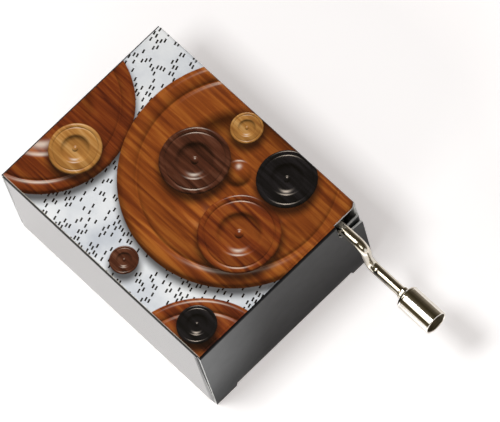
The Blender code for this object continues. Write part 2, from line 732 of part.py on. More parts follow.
def comb():
    """Steel comb: thin teeth that shorten from bass to treble, weighted under the bass ones."""
    half = comb_half_width()
    tooth = COMB_PITCH - COMB_SLOT
    tracks = track_places()
    outline = [Vector((COMB_REAR, -half)), Vector((COMB_FRONT, -half))]
    for index, y in enumerate(tracks):
        slot = LONGEST_TOOTH + (SHORTEST_TOOTH - LONGEST_TOOTH) * index / (COMB_TEETH - 1)
        root = COMB_TIP_X - slot
        outline += [
            Vector((root, y - tooth / 2)),
            Vector((COMB_TIP_X, y - tooth / 2)),
            Vector((COMB_TIP_X, y + tooth / 2)),
            Vector((root, y + tooth / 2)),
        ]
    outline += [Vector((root, half)), Vector((COMB_REAR, half))]
    holes = [
        circle(SCREW_RADIUS + SEAT_GAP, SMALL_SIDES, (COMB_X, y - DRUM_Y)) for y in screw_places()]
    steel = as_mesh(plate(
        "comb", [outline] + holes, COMB_THICKNESS, "ground_steel",
        (0.0, DRUM_Y, (COMB_TOP + COMB_BOTTOM) / 2), ALONG_Z))
    underside = block(
        "comb_underside",
        (COMB_FRONT + TOOTH_PLATE, DRUM_Y - half - LEAF, COMB_BOTTOM - LEAF),
        (COMB_TIP_X + LEAF, DRUM_Y + half + LEAF, COMB_TOP - TOOTH_PLATE))
    combine(steel, underside, "DIFFERENCE")
    front = COMB_TIP_X - WEIGHT_FROM_TIP
    for index in range(COMB_WEIGHTS):
        share = 1 - index / (COMB_WEIGHTS + 1)
        y = DRUM_Y + tracks[index]
        low = COMB_TOP - TOOTH_PLATE - WEIGHT_DEPTH * share
        weight = block(
            f"comb_weight_{index}",
            (front - WEIGHT_LENGTH * share, y - tooth / 2 + HAIR, low),
            (front, y + tooth / 2 - HAIR, COMB_TOP - TOOTH_PLATE / 2))
        combine(steel, weight, "UNION")
    dress(steel, "ground_steel")


def drum():
    """Brass tube with a pin standing wherever a note is plucked."""
    half = DRUM_LENGTH / 2
    tube = turned(
        "pinned_cylinder",
        [(DRUM_RADIUS, half), (DRUM_RADIUS, -half), (DRUM_BORE, -half), (DRUM_BORE, half)],
        "brass", (DRUM_X, DRUM_Y, DRUM_Z), ALONG_Y, ring=True, sides=3 * SMALL_SIDES)
    shape = bmesh.new()
    sunk = DRUM_WALL / 2
    length = PIN_HEIGHT + sunk
    beats = PINS_PER_TRACK * BEATS_PER_PIN
    for index, y in enumerate(track_places()):
        for note in range(PINS_PER_TRACK):
            # Each sixth of a turn plucks every tooth once, on a beat that the sums scatter
            beat = note * BEATS_PER_PIN + (7 * index + 3 * index * note + 4 * note) % BEATS_PER_PIN
            angle = 2 * pi * beat / beats
            made = bmesh.ops.create_cone(
                shape, cap_ends=True, segments=5, radius1=PIN_RADIUS, radius2=PIN_RADIUS * 0.75,
                depth=length)
            verts = made["verts"]
            bmesh.ops.rotate(shape, verts=verts, matrix=Matrix.Rotation(pi / 2, 3, "Y"))
            bmesh.ops.translate(
                shape, verts=verts, vec=(DRUM_RADIUS - sunk + length / 2, 0.0, y))
            bmesh.ops.rotate(
                shape, verts=verts, cent=(0.0, 0.0, 0.0), matrix=Matrix.Rotation(angle, 3, "Z"))
    mesh = bpy.data.meshes.new("pins")
    shape.to_mesh(mesh)
    shape.free()
    pins = place("pins", mesh, tube.location, ALONG_Y)
    combine(tube, pins, "UNION")


def cylinder_cap():
    """Moulded cap in the cylinder's left end, with a bore for the arbor."""
    bore = ARBOR_RADIUS + RUNNING_GAP
    inner = DRUM_LEFT + PLUG_DEPTH
    rim = DRUM_RADIUS - SEAT_GAP
    plug = DRUM_BORE - RUNNING_GAP
    flange = DRUM_LEFT - SEAT_GAP
    profile = [
        (bore, inner - DRUM_Y), (plug, inner - DRUM_Y), (plug, flange - DRUM_Y),
        (rim, flange - DRUM_Y), (rim, CAP_OUTER - DRUM_Y), (bore, CAP_OUTER - DRUM_Y)]
    turned("cylinder_cap", profile, "white_acetal", (DRUM_X, DRUM_Y, DRUM_Z), ALONG_Y, ring=True)


def thread_profile():
    """Half widths of a tooth or thread at its tip and root."""
    tip = TOOTH_THICKNESS / 2 - ADDENDUM * tan(PRESSURE_ANGLE)
    root = TOOTH_THICKNESS / 2 + DEDENDUM * tan(PRESSURE_ANGLE)
    return tip, root


def ring_points(radii_and_angles, height):
    """Points of one ring of a loft along Z."""
    return [(r * cos(a), r * sin(a), height) for r, a in radii_and_angles]


def worm():
    """Sleeve with one right-hand helical thread, lofted ring by ring with the helix's turn.

    Local angle 0 points down, so the thread meets the wheel in the middle of the worm.
    """
    pitch = pi * MODULE
    tip, root = thread_profile()
    crest = 2 * pi * tip / pitch
    foot = 2 * pi * root / pitch
    outer = WORM_PITCH_RADIUS + ADDENDUM
    inner = WORM_PITCH_RADIUS - DEDENDUM
    section = [(outer, -crest), (outer, 0.0), (outer, crest)]
    flank_steps = 4
    for step in range(1, flank_steps + 1):
        share = step / flank_steps
        section.append((outer + (inner - outer) * share, crest + (foot - crest) * share))
    rest = 2 * pi - 2 * foot
    for step in range(1, 4):
        section.append((inner, foot + rest * step / 4))
    for step in range(flank_steps, 0, -1):
        share = step / flank_steps
        section.append((outer + (inner - outer) * share, -crest - (foot - crest) * share))
    steps = 14
    slices = WORM_TURNS * steps
    thread = WORM_TURNS * pitch / 2
    end = (FRONT_EAR_X - REAR_EAR_X - EAR_THICKNESS) / 2 - SEAT_GAP
    # Whole turns bring the section back to where it began, so the sleeve and bore run straight
    rings = []
    for index in range(slices + 1):
        turn = 2 * pi * (index - slices / 2) / steps
        rings.append(ring_points([(r, a + turn) for r, a in section], turn * pitch / (2 * pi)))
    sleeve = [(inner, a) for r, a in section]
    bore = [(ROD_RADIUS + RUNNING_GAP, a) for r, a in section]
    first = [ring_points(sleeve, height) for height in (-end, -thread - HAIR)]
    last = [ring_points(sleeve, height) for height in (thread + HAIR, end)]
    hole = [ring_points(bore, height) for height in (end, -end)]
    loft("worm", first + rings + last + hole, "brass", (DRUM_X, ROD_Y, ROD_Z), ALONG_X)


def worm_wheel():
    """Moulded wheel whose teeth slope as the worm's thread does, with a plug for the cylinder."""
    pitch = pi * MODULE
    tip, root = thread_profile()
    outer = WHEEL_TIP_RADIUS
    inner = WHEEL_RADIUS - DEDENDUM
    tip_angle = tip / outer
    root_angle = root / inner
    slope = pitch / (2 * pi * WORM_PITCH_RADIUS)
    section = []
    for index in range(WHEEL_TEETH):
        # A gap faces the worm, at local angle -90 degrees
        middle = -pi / 2 + 2 * pi * (index + 0.5) / WHEEL_TEETH
        section += [(inner, middle - root_angle), (outer, middle - tip_angle)]
        section += [(outer, middle + tip_angle), (inner, middle + root_angle)]
    rings = []
    slices = 3
    for index in range(slices + 1):
        height = (index / slices - 0.5) * WHEEL_WIDTH
        twist = height * slope / WHEEL_RADIUS
        rings.append(ring_points([(r, a + twist) for r, a in section], height))

    def round_ring(radius, height):
        return ring_points([(radius, a) for r, a in section], height)

    face = -WHEEL_WIDTH / 2
    drum_end = DRUM_RIGHT - ROD_Y
    plug = DRUM_BORE - RUNNING_GAP
    hub = [
        round_ring(WHEEL_COLLAR_RADIUS, WHEEL_WIDTH / 2),
        round_ring(ARBOR_RADIUS + RUNNING_GAP, WHEEL_WIDTH / 2),
        round_ring(ARBOR_RADIUS + RUNNING_GAP, drum_end - PLUG_DEPTH),
        round_ring(plug, drum_end - PLUG_DEPTH),
        round_ring(plug, drum_end),
        round_ring(WHEEL_COLLAR_RADIUS, drum_end + HAIR),
        round_ring(WHEEL_COLLAR_RADIUS, face),
    ]
    loft("worm_wheel", rings + hub, "white_acetal", (DRUM_X, ROD_Y, DRUM_Z), ALONG_Y)


def arbor():
    """Steel arbor through the cylinder and both bushes."""
    left = LEFT_LUG_OUTER
    right = RIGHT_LUG_OUTER
    rod(
        "arbor", [(0.0, left - DRUM_Y, 0.0), (0.0, right - DRUM_Y, 0.0)], ARBOR_RADIUS,
        SMALL_SIDES, "ground_steel", (DRUM_X, DRUM_Y, DRUM_Z))


def bushes():
    """Flanged brass bushes in the two lugs, flanges towards the cylinder."""
    for name, inner, outer, side in (
            ("left_bush", LEFT_LUG_INNER, LEFT_LUG_OUTER, -1),
            ("right_bush", RIGHT_LUG_INNER, RIGHT_LUG_OUTER, 1)):
        bore = ARBOR_RADIUS + RUNNING_GAP
        flange_in = -BUSH_FLANGE - RUNNING_GAP
        flange_out = -RUNNING_GAP
        depth = abs(outer - inner)
        profile = [
            (bore, depth), (BUSH_RADIUS, depth), (BUSH_RADIUS, flange_out),
            (BUSH_FLANGE_RADIUS, flange_out), (BUSH_FLANGE_RADIUS, flange_in), (bore, flange_in)]
        rotation = ALONG_Y if side > 0 else (pi / 2, 0.0, 0.0)
        turned(name, profile, "brass", (DRUM_X, inner, DRUM_Z), rotation, ring=True)


def crank():
    """Bent rod, the clip at its inner end and the clip that keeps the knob on."""
    first = END + CRANK_INNER_REACH
    second = first + CRANK_ARM_LEAN
    corners = [
        Vector((ROD_REAR, 0.0, 0.0)),
        Vector((first, 0.0, 0.0)),
        Vector((second, 0.0, -CRANK_THROW)),
        Vector((ROD_FRONT, 0.0, -CRANK_THROW)),
    ]
    path = rounded(corners, CRANK_BEND_RADIUS, closed=False)
    rod("crank_rod", path, ROD_RADIUS, SMALL_SIDES, "nickel_plated_steel", (0.0, ROD_Y, ROD_Z))
    bore = ROD_RADIUS + RUNNING_GAP
    mouth = asin(CLIP_MOUTH / 2 / bore)
    outer_mouth = asin(CLIP_MOUTH / 2 / CLIP_RADIUS)
    outline = []
    for radius, start, stop in (
            (CLIP_RADIUS, outer_mouth, 2 * pi - outer_mouth), (bore, 2 * pi - mouth, mouth)):
        for step in range(SMALL_SIDES + 1):
            angle = start + (stop - start) * step / SMALL_SIDES
            outline.append(Vector((radius * cos(angle), radius * sin(angle))))
    plate(
        "rod_clip", [outline], CLIP_THICKNESS, "blued_steel",
        (CLIP_X + CLIP_THICKNESS / 2, ROD_Y, ROD_Z), FACING_X)
    ring = [
        (KNOB_CLIP_RADIUS, CLIP_THICKNESS), (KNOB_CLIP_RADIUS, 0.0), (bore, 0.0),
        (bore, CLIP_THICKNESS)]
    turned(
        "knob_clip", ring, "nickel_plated_steel", (KNOB_CLIP_X, ROD_Y, KNOB_Z), ALONG_X, ring=True)


def knob():
    """Drawn cup, closed towards the carton, that spins on the rod's end."""
    bore = KNOB_RADIUS - KNOB_WALL
    hole = ROD_RADIUS + RUNNING_GAP
    profile = [
        (hole, 0.0), (hole, KNOB_BASE), (bore, KNOB_BASE), (bore, KNOB_LENGTH),
        (KNOB_RADIUS, KNOB_LENGTH)]
    steps = ARC_STEPS
    for step in range(steps + 1):
        angle = pi / 2 * step / steps
        profile.append((
            KNOB_RADIUS - KNOB_SHOULDER + KNOB_SHOULDER * cos(angle),
            KNOB_SHOULDER - KNOB_SHOULDER * sin(angle)))
    turned("knob", profile, "nickel_plated_steel", (KNOB_X, ROD_Y, KNOB_Z), ALONG_X, ring=True)


def movement():
    """The musical movement on its mounting board."""
    mounting_board()
    bedplate()
    crank_bracket()
    comb()
    screws()
    drum()
    cylinder_cap()
    worm_wheel()
    arbor()
    bushes()
    worm()
    crank()
    knob()


clear_scene()
PARTS = make_collection("music_box")
CUTTERS = make_collection("music_box_cutters")
carton()
movement()
for part in PARTS.objects:
    shade_round(part)
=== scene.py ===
"""Looks of the hand-cranked music box: board, print, nickel plate and the movement inside.

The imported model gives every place. The carton, the crank and the knob are built here again with
finer shapes on the places of the model's nodes. The other nodes keep their own shapes, with their
edges eased. Every surface gets its real finish. Sizes are real sizes in metres, in the model's
frame: +X towards the crank, +Z up.
"""

import json
from math import cos, exp, hypot, pi, radians, sin, sqrt, tan

import bmesh
import bpy
from mathutils import Matrix, Vector

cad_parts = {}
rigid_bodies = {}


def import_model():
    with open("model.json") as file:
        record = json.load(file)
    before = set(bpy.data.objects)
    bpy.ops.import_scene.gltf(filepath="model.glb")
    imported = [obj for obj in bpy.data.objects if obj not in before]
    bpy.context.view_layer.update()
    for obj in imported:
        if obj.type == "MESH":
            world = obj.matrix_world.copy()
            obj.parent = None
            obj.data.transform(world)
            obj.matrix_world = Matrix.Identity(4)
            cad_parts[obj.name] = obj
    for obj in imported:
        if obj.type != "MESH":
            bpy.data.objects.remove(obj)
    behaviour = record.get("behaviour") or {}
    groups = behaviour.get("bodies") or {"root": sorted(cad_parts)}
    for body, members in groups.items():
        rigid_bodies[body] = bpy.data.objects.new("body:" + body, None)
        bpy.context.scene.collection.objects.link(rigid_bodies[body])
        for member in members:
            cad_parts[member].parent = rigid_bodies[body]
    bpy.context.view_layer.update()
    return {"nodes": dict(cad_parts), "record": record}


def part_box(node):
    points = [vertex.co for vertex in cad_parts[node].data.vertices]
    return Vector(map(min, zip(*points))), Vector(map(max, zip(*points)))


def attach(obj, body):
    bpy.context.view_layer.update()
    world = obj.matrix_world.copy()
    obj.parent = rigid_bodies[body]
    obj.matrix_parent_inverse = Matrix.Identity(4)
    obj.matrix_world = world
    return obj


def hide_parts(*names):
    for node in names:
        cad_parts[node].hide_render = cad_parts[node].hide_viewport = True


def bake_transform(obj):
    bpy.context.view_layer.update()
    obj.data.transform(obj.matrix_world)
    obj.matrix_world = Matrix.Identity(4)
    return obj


# Blender's own startup objects go first
for leftover in list(bpy.data.objects):
    bpy.data.objects.remove(leftover, do_unlink=True)
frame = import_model()

MM = 0.001
HAIR = 0.001 * MM

# Carton, from the model's boxes
TUBE_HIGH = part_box("carton_tube")[1]
CLOSURE_LOW, CLOSURE_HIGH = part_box("front_closure")
TUCK_LOW, TUCK_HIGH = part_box("front_tuck_flap")
HEIGHT = TUBE_HIGH.z
SIDE = TUBE_HIGH.y
TUBE_END = TUBE_HIGH.x
END = CLOSURE_HIGH.x
BOARD = END - CLOSURE_LOW.x
LEAF = END - TUBE_END
WALL_END = TUBE_END - LEAF

# Carton, sizes that no box gives
CREASE_RADIUS = 0.6 * MM
CUT_EDGE = 0.03 * MM
GLUE_FLAP_HEIGHT = 9.0 * MM
CLOSURE_SIDE_GAP = 0.2 * MM
TUCK_SHOULDER = 6.2 * MM
TUCK_CORNER = 4.0 * MM
SHOULDER_SLANT = 0.5 * MM
SHOULDER_LIP = 0.2 * MM
DUST_FLAP_LENGTH = 20.0 * MM
DUST_FLAP_TAPER = radians(16.0)
DUST_FLAP_STEP = 3.0 * MM
NOTCH_WIDTH = 7.2 * MM
NOTCH_UNDER_ROD = 2.2 * MM
NOTCH_FALL = 1.1 * MM
NOTCH_RADIUS = 3.0 * MM
RELIEF_UNDER_ROD = 1.1 * MM
RELIEF_WIDTH = 8.6 * MM
ARC_STEPS = 10

# Wear: the crease beside the near corner has sprung, and the lid's free corner is worn round
SPRUNG_LENGTH = 0.9 * MM
SPRUNG_DEPTH = 0.16 * MM
LID_CORNER = 1.9 * MM
LID_CORNER_ROWS = (1.0, 0.85, 0.7, 0.55)

# Crank rod
ROD_RADIUS = 1.3 * MM
ROD_FROM_SIDE = 5.5 * MM
ROD_BELOW_TOP = 4.2 * MM
ROD_Y = SIDE - ROD_FROM_SIDE
ROD_Z = HEIGHT - ROD_BELOW_TOP
ROD_END_EASE = 0.3 * MM
ROD_SIDES = 48
ROD_RING_GAP = 0.15 * MM
CRANK_INNER_REACH = 6.5 * MM
CRANK_THROW = 8.2 * MM
CRANK_ARM_LEAN = 0.6 * MM
CRANK_BEND_RADIUS = 2.4 * MM
BEND_STEPS = 18

# Marks of the bending tool on the arm. Places and lengths along it are shares of its length
MARKS_START = -0.2
MARKS_END = 1.25
RIPPLE_DEPTH = 0.12 * MM
RIPPLE_TURNS = 13.0
RIPPLE_SWAY = 1.2
RIPPLE_TWIST = 2.0
PRESSED_SIDE = radians(108.0)
# Where the tool pressed the wire: place, length and depth
TOOL_PRESSES = ((0.12, 0.09, 0.12 * MM), (0.86, 0.09, 0.12 * MM), (1.02, 0.055, 0.17 * MM))

# Pinch beside the knob, with an ear on each side
PINCH_GAP = 0.85 * MM
PINCH_HALF_LENGTH = 0.5 * MM
PINCH_HALF_HEIGHT = 1.05 * MM
PINCH_LEAN = 0.39
PINCH_SQUARENESS = 6
EAR_HEIGHT = 0.3 * MM
EAR_SHARPNESS = 8

# Knob
KNOB_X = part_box("knob")[0].x
KNOB_Z = ROD_Z - CRANK_THROW
KNOB_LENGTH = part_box("knob")[1].x - KNOB_X
KNOB_RADIUS = 3.1 * MM
KNOB_WALL = 0.45 * MM
KNOB_BASE = 0.9 * MM
KNOB_SHOULDER = 0.8 * MM
KNOB_RIM = 0.18 * MM
KNOB_HOLE_EASE = 0.12 * MM
KNOB_LINE_WIDTH = 0.12 * MM
KNOB_LINE_DEPTH = 0.09 * MM
KNOB_SIDES = 128
RUNNING_GAP = 0.1 * MM

# Shading keeps edges over this angle sharp
SHARP_ANGLE = 35.0
KNOB_SHARP_ANGLE = 50.0

# Turns that lay a shape's own Z along an axis of the model
ALONG_X = (0.0, pi / 2, 0.0)
ALONG_Z = (0.0, 0.0, 0.0)

# Ink on the board, in millimetres: how far the print ends short of the folds, and a painted highlight
# along its rim at -Y
BLACK_INK = "0d0d0e"
PRINT_SHORT_X = 0.5
PRINT_SHORT_Y = 0.45
PRINT_EDGE = 0.04
PAINTED_HIGHLIGHT_START = 0.16
PAINTED_HIGHLIGHT_FULL = 0.08
PAINTED_HIGHLIGHT_SHARE = 0.5

# Film over the ink: it follows the paper in soft waves 3 mm apart and 0.002 mm deep
FILM_WAVES_PER_MM = 0.35
FILM_WAVE_DEPTH = 0.002 * MM
FILM_GLOSS_SPREAD = 0.07

# Punched paper in the picture, in millimetres
PAPER_TURN = radians(-17.0)
SLOT_ROW = 0.8
SLOT_BEAT = 1.7
SLOT_RARITY = 0.62
SLOT_LENGTH_SHARE = 0.6
SLOT_HALF_WIDTH_SHARE = 0.26

# Turned dishes in the picture, in millimetres. Streaks of the grain are 20 long and 1.3 wide
DISH_EDGE = 0.08
DISH_SHADOW_SHIFT = (1.2, -1.0, 0.0)
DISH_SHADOW_OUTSIDE = 1.7
DISH_SHADOW_INSIDE = 0.9
DISH_SHADOW_SHARE = 0.85
GRAIN_PER_MM = (0.05, 0.75, 1.0)
STEEPEST = 1.6
DIM_FROM = 0.1
DIMMEST = 0.22
BRIGHTEST = 1.3
SHINE_POWER = 70.0
SHINE_SHARE = 0.75
# The picture's light comes from above the -X, +Y corner, its shine from nearer straight up
PICTURE_LIGHT = Vector((-0.45, 0.50, 0.74)).normalized()
PICTURE_SHINE = Vector((-0.34, 0.38, 0.86)).normalized()
# The slope of a turned dish from its middle to its edge: 0.5 is flat, less falls, more rises
DISH_SLOPES = [
    (0.0, 0.5), (0.07, 0.30), (0.10, 0.16), (0.13, 0.5), (0.34, 0.54), (0.50, 0.82), (0.56, 0.62),
    (0.60, 0.48), (0.80, 0.44), (0.83, 0.26), (0.85, 0.76), (0.88, 0.60), (0.95, 0.42), (1.0, 0.02)]
VARNISHED = ("6a2f11", "8b4518", "a86024")
CHERRY = ("521f0e", "7a3614", "96501e")
MAPLE = ("8f5a28", "b07a3c", "c8975a")
WALNUT = ("361a10", "512a1b", "6c4330")
EBONY = ("0c0b0c", "151315", "232022")
# Dishes of the picture from the lowest up: middle, radius, wood and turn of the grain in radians
DISHES = (
    ((-37.0, -7.0), 21.0, CHERRY, 0.9),
    ((36.0, -29.0), 20.0, CHERRY, 2.2),
    ((7.0, 12.0), 27.5, VARNISHED, 0.35),
    ((-2.5, 7.5), 8.2, WALNUT, 2.0),
    ((17.5, 2.0), 9.5, CHERRY, 1.1),
    ((16.0, 18.5), 7.0, EBONY, 0.2),
    ((0.5, 21.0), 3.8, MAPLE, 0.7),
    ((-24.5, -9.0), 6.2, MAPLE, 0.4),
    ((26.0, -19.5), 4.6, EBONY, 2.6),
    ((3.0, -20.0), 3.4, WALNUT, 0.8),
)

# Camera, fitted to the carton's seven visible corners in the photo
PHOTO_WIDTH = 500
SENSOR_WIDTH = 36.0
FOCAL_PIXELS = 5756
CAMERA_AZIMUTH = radians(63.065)
CAMERA_ELEVATION = radians(67.279)
CAMERA_ROLL = radians(-18.738)
CAMERA_DISTANCE = 1301.8 * MM
CAMERA_OFFSET = (14.12 * MM, 0.86 * MM)
CAMERA_AIM = Vector((0.0, 0.0, HEIGHT / 2))

# Floor: its paper as it is seen and as it lights the object, and the glow that whitens it
FLOOR_RADIUS = 4.0
FLOOR_BELOW = 0.02 * MM
FLOOR_SEEN = "f7f7f7"
FLOOR_LIGHTING = "cbcbcb"
FLOOR_GLOW = "fff5f1"
FLOOR_LIFT = 0.345
FLOOR_FAR_LIFT = 2.2
FLOOR_NEAR = 70.0 * MM
FLOOR_FAR = 160.0 * MM

# The world's light on the object. Where the world is seen, it is white
AMBIENT = 0.38

# Tent. Places along its arc are 0 at the -Y horizon, 0.5 overhead and 1 at the +Y horizon
TENT_REACH = 2.0
TENT_RADIUS = 1.0
TENT_STEPS = 48
TENT_STRENGTH = 2.3
TENT_CLOTH = [
    (0.0, "4f4837"), (0.15, "2b2517"), (0.40, "2b2517"), (0.46, "5f5848"), (0.52, "3a3427"),
    (0.66, "241f14"), (0.80, "39332a"), (0.90, "5b554b"), (1.0, "746f66")]
# The windows' middle and half width as shares of the arc, and how much of that width they have
# at places along X from one end of the tent to the other
WINDOW_MIDDLE = 0.31
WINDOW_HALF = 0.12
WINDOW_EDGE = 0.02
WINDOW_WIDTHS = [
    (0.18, 0.0), (0.28, 0.9), (0.40, 1.0), (0.44, 0.9), (0.53, 0.0), (0.60, 0.0), (0.68, 0.8),
    (0.76, 0.8), (0.82, 0.0)]
# Daylight is warm round a window's edge and white in its middle
DAYLIGHT = [(0.0, "8a6420"), (0.7, "fff0c4"), (1.0, "fffdf6")]

# Card before the end panel. Places in X are counted from the panel, all in millimetres
CARD_X = (0.5, 60.0)
CARD_Y = (-90.0, 40.0)
CARD_ABOVE = 0.05
CARD_SLANT = 0.9
CARD_WHITE_UNTIL = -27.0
CARD_CLEAR_FROM = -9.0
CARD_STRENGTH = 2.2
# Painted shade: by the panel the card glows less and turns grey, so that the end panel's reflection
# darkens towards its foot
CARD_PAINTED_SHADE_GLOW = 0.4
CARD_GLOW_PLACES = (2.0, 6.0)
PAINTED_SHADE_SHARE = 0.57
PAINTED_SHADE_PLACES = (1.0, 11.0)


# Materials

def linear(colour):
    """Linear RGBA of an sRGB hex colour."""
    channels = [int(colour[spot:spot + 2], 16) / 255 for spot in (0, 2, 4)]
    return (*[c / 12.92 if c <= 0.04045 else ((c + 0.055) / 1.055) ** 2.4 for c in channels], 1.0)


def add(tree, kind, inputs=None, stops=None, **settings):
    """A node with its settings, stops of colours or shares, and inputs: values or other nodes."""
    node = tree.nodes.new("ShaderNode" + kind)
    for name, value in settings.items():
        setattr(node, name, value)
    if stops:
        elements = node.color_ramp.elements
        while len(elements) < len(stops):
            elements.new(0.5)
        for element, (position, colour) in zip(elements, stops):
            element.position = position
            element.color = linear(colour) if isinstance(colour, str) else (colour,) * 3 + (1.0,)
    for key, value in (inputs or {}).items():
        socket = node.inputs[key] if isinstance(key, int) else next(
            entry for entry in node.inputs if entry.enabled and entry.name == key)
        if isinstance(value, bpy.types.Node):
            value = next(entry for entry in value.outputs if entry.enabled)
        if isinstance(value, bpy.types.NodeSocket):
            tree.links.new(value, socket)
        else:
            socket.default_value = linear(value) if isinstance(value, str) else value
    return node


def finish(name, colour, roughness, metallic=0.0, **inputs):
    """A new material with its Principled shader set. Returns the material, its tree and shader."""
    material = bpy.data.materials.new(name)
    material.use_nodes = True
    tree = material.node_tree
    shader = tree.nodes["Principled BSDF"]
    shader.inputs["Base Color"].default_value = linear(colour)
    shader.inputs["Roughness"].default_value = roughness
    shader.inputs["Metallic"].default_value = metallic
    for key, value in inputs.items():
        shader.inputs[key.replace("_", " ")].default_value = value
    return material, tree, shader


def millimetres(tree, stretch=(1.0, 1.0, 1.0)):
    """The object's own coordinates in millimetres, each times its stretch, in patterns per mm."""
    place = add(tree, "TexCoord")
    scale = [share / MM for share in stretch]
    return add(tree, "VectorMath", {0: place.outputs["Object"], 1: scale}, operation="MULTIPLY")


def tinted(tree, shader, pattern, stops):
    """Colour the surface by the height of a pattern."""
    tint = add(tree, "ValToRGB", {0: pattern.outputs["Fac"]}, stops=stops)
    tree.links.new(tint.outputs["Color"], shader.inputs["Base Color"])


def glossed(tree, shader, pattern, low, high, span=0.4):
    """Let the roughness run from low to high over the pattern's middle span."""
    gloss = add(tree, "MapRange", {
        "Value": pattern.outputs["Fac"], "From Min": 0.5 - span / 2, "From Max": 0.5 + span / 2,
        "To Min": low, "To Max": high})
    tree.links.new(gloss.outputs[0], shader.inputs["Roughness"])


def bumped(tree, shader, pattern, depth):
    """Raise the surface by a pattern, depth metres from its lowest to its highest."""
    bump = add(tree, "Bump", {"Height": pattern.outputs["Fac"], "Distance": depth, "Strength": 1.0})
    tree.links.new(bump.outputs["Normal"], shader.inputs["Normal"])


def dish(tree, spot, under, centre, radius, wood, turn):
    """One turned wooden dish of the printed picture, lit from one side, with its shadow under it."""
    away = add(tree, "VectorMath", {0: spot, 1: (*centre, 0.0)}, operation="SUBTRACT")
    length = add(tree, "VectorMath", {0: away}, operation="LENGTH")
    share = add(tree, "Math", {0: length, 1: radius}, operation="DIVIDE")
    fallen = add(tree, "VectorMath", {0: away, 1: DISH_SHADOW_SHIFT}, operation="SUBTRACT")
    fallen = add(tree, "VectorMath", {0: fallen}, operation="LENGTH")
    shade = add(tree, "MapRange", {
        "Value": fallen, "From Min": radius + DISH_SHADOW_OUTSIDE,
        "From Max": radius - DISH_SHADOW_INSIDE, "To Max": DISH_SHADOW_SHARE},
        interpolation_type="SMOOTHSTEP")
    under = add(tree, "Mix", {"Factor": shade, "A": under, "B": "140a06"}, data_type="RGBA")

    # Grain runs straight through the wood, whatever is turned into it
    grain = add(tree, "Mapping", {
        "Vector": away, "Rotation": (0.0, 0.0, turn), "Scale": GRAIN_PER_MM})
    grain = add(tree, "TexNoise", {"Vector": grain, "Scale": 1.0, "Detail": 6.0, "Distortion": 0.5})
    figure = add(tree, "ValToRGB", {0: grain.outputs["Fac"]}, stops=[
        (0.34, wood[0]), (0.50, wood[1]), (0.66, wood[2])])

    # The turned profile tilts the wood's face, and with it the light that falls on it
    slope = add(tree, "ValToRGB", {0: share}, stops=DISH_SLOPES)
    slope = add(tree, "MapRange", {
        "Value": slope.outputs["Color"], "To Min": STEEPEST, "To Max": -STEEPEST})
    outward = add(tree, "VectorMath", {0: away}, operation="NORMALIZE")
    face = add(tree, "VectorMath", {0: outward, "Scale": slope}, operation="SCALE")
    face = add(tree, "VectorMath", {0: face, 1: (0.0, 0.0, 1.0)}, operation="ADD")
    face = add(tree, "VectorMath", {0: face}, operation="NORMALIZE")
    lit = add(tree, "VectorMath", {0: face, 1: PICTURE_LIGHT}, operation="DOT_PRODUCT")
    lit = add(tree, "MapRange", {
        "Value": lit.outputs["Value"], "From Min": DIM_FROM, "To Min": DIMMEST, "To Max": BRIGHTEST})
    wooden = add(tree, "VectorMath", {0: figure.outputs["Color"], "Scale": lit}, operation="SCALE")
    shine = add(tree, "VectorMath", {0: face, 1: PICTURE_SHINE}, operation="DOT_PRODUCT")
    shine = add(tree, "Math", {0: shine.outputs["Value"], 1: SHINE_POWER}, operation="POWER")
    shine = add(tree, "Math", {0: shine, 1: SHINE_SHARE}, operation="MULTIPLY", use_clamp=True)
    wooden = add(tree, "Mix", {"Factor": shine, "A": wooden, "B": "f0dfce"}, data_type="RGBA")
    inside = add(tree, "MapRange", {
        "Value": length, "From Min": radius + DISH_EDGE, "From Max": radius - DISH_EDGE})
    return add(tree, "Mix", {"Factor": inside, "A": under, "B": wooden}, data_type="RGBA")


def whole_and_rest(tree, value):
    """The whole part of a value, and what is left of it."""
    return [add(tree, "Math", {0: value}, operation=kind) for kind in ("FLOOR", "FRACT")]


def punched_paper(tree, spot):
    """The sheet under the dishes: white paper with rows of punched slots."""
    fibres = add(tree, "TexNoise", {"Vector": spot, "Scale": 0.07, "Detail": 5.0})
    paper = add(tree, "ValToRGB", {0: fibres.outputs["Fac"]}, stops=[
        (0.34, "c6cad0"), (0.5, "e2e4e6"), (0.64, "f3f3f2")])
    turned_spot = add(tree, "Mapping", {"Vector": spot, "Rotation": (0.0, 0.0, PAPER_TURN)})
    parts = add(tree, "SeparateXYZ", {0: turned_spot})
    row = add(tree, "Math", {0: parts.outputs["X"], 1: SLOT_ROW}, operation="DIVIDE")
    row_index, row_place = whole_and_rest(tree, row)
    shift = add(tree, "TexWhiteNoise", {"W": row_index}, noise_dimensions="1D")
    beat = add(tree, "Math", {0: parts.outputs["Y"], 1: SLOT_BEAT}, operation="DIVIDE")
    beat = add(tree, "Math", {0: beat, 1: shift.outputs["Value"]}, operation="ADD")
    beat_index, beat_place = whole_and_rest(tree, beat)
    cell = add(tree, "CombineXYZ", {"X": row_index, "Y": beat_index})
    chance = add(tree, "TexWhiteNoise", {"Vector": cell}, noise_dimensions="3D")
    chosen = add(tree, "Math", {
        0: chance.outputs["Value"], 1: SLOT_RARITY}, operation="GREATER_THAN")
    in_length = add(tree, "Math", {0: beat_place, 1: SLOT_LENGTH_SHARE}, operation="LESS_THAN")
    row_side = add(tree, "Math", {0: row_place, 1: 0.5}, operation="SUBTRACT")
    row_side = add(tree, "Math", {0: row_side}, operation="ABSOLUTE")
    in_width = add(tree, "Math", {0: row_side, 1: SLOT_HALF_WIDTH_SHARE}, operation="LESS_THAN")
    slot = add(tree, "Math", {0: chosen, 1: in_length}, operation="MULTIPLY")
    slot = add(tree, "Math", {0: slot, 1: in_width}, operation="MULTIPLY")
    return add(tree, "Mix", {"Factor": slot, "A": paper, "B": "2b2826"}, data_type="RGBA")


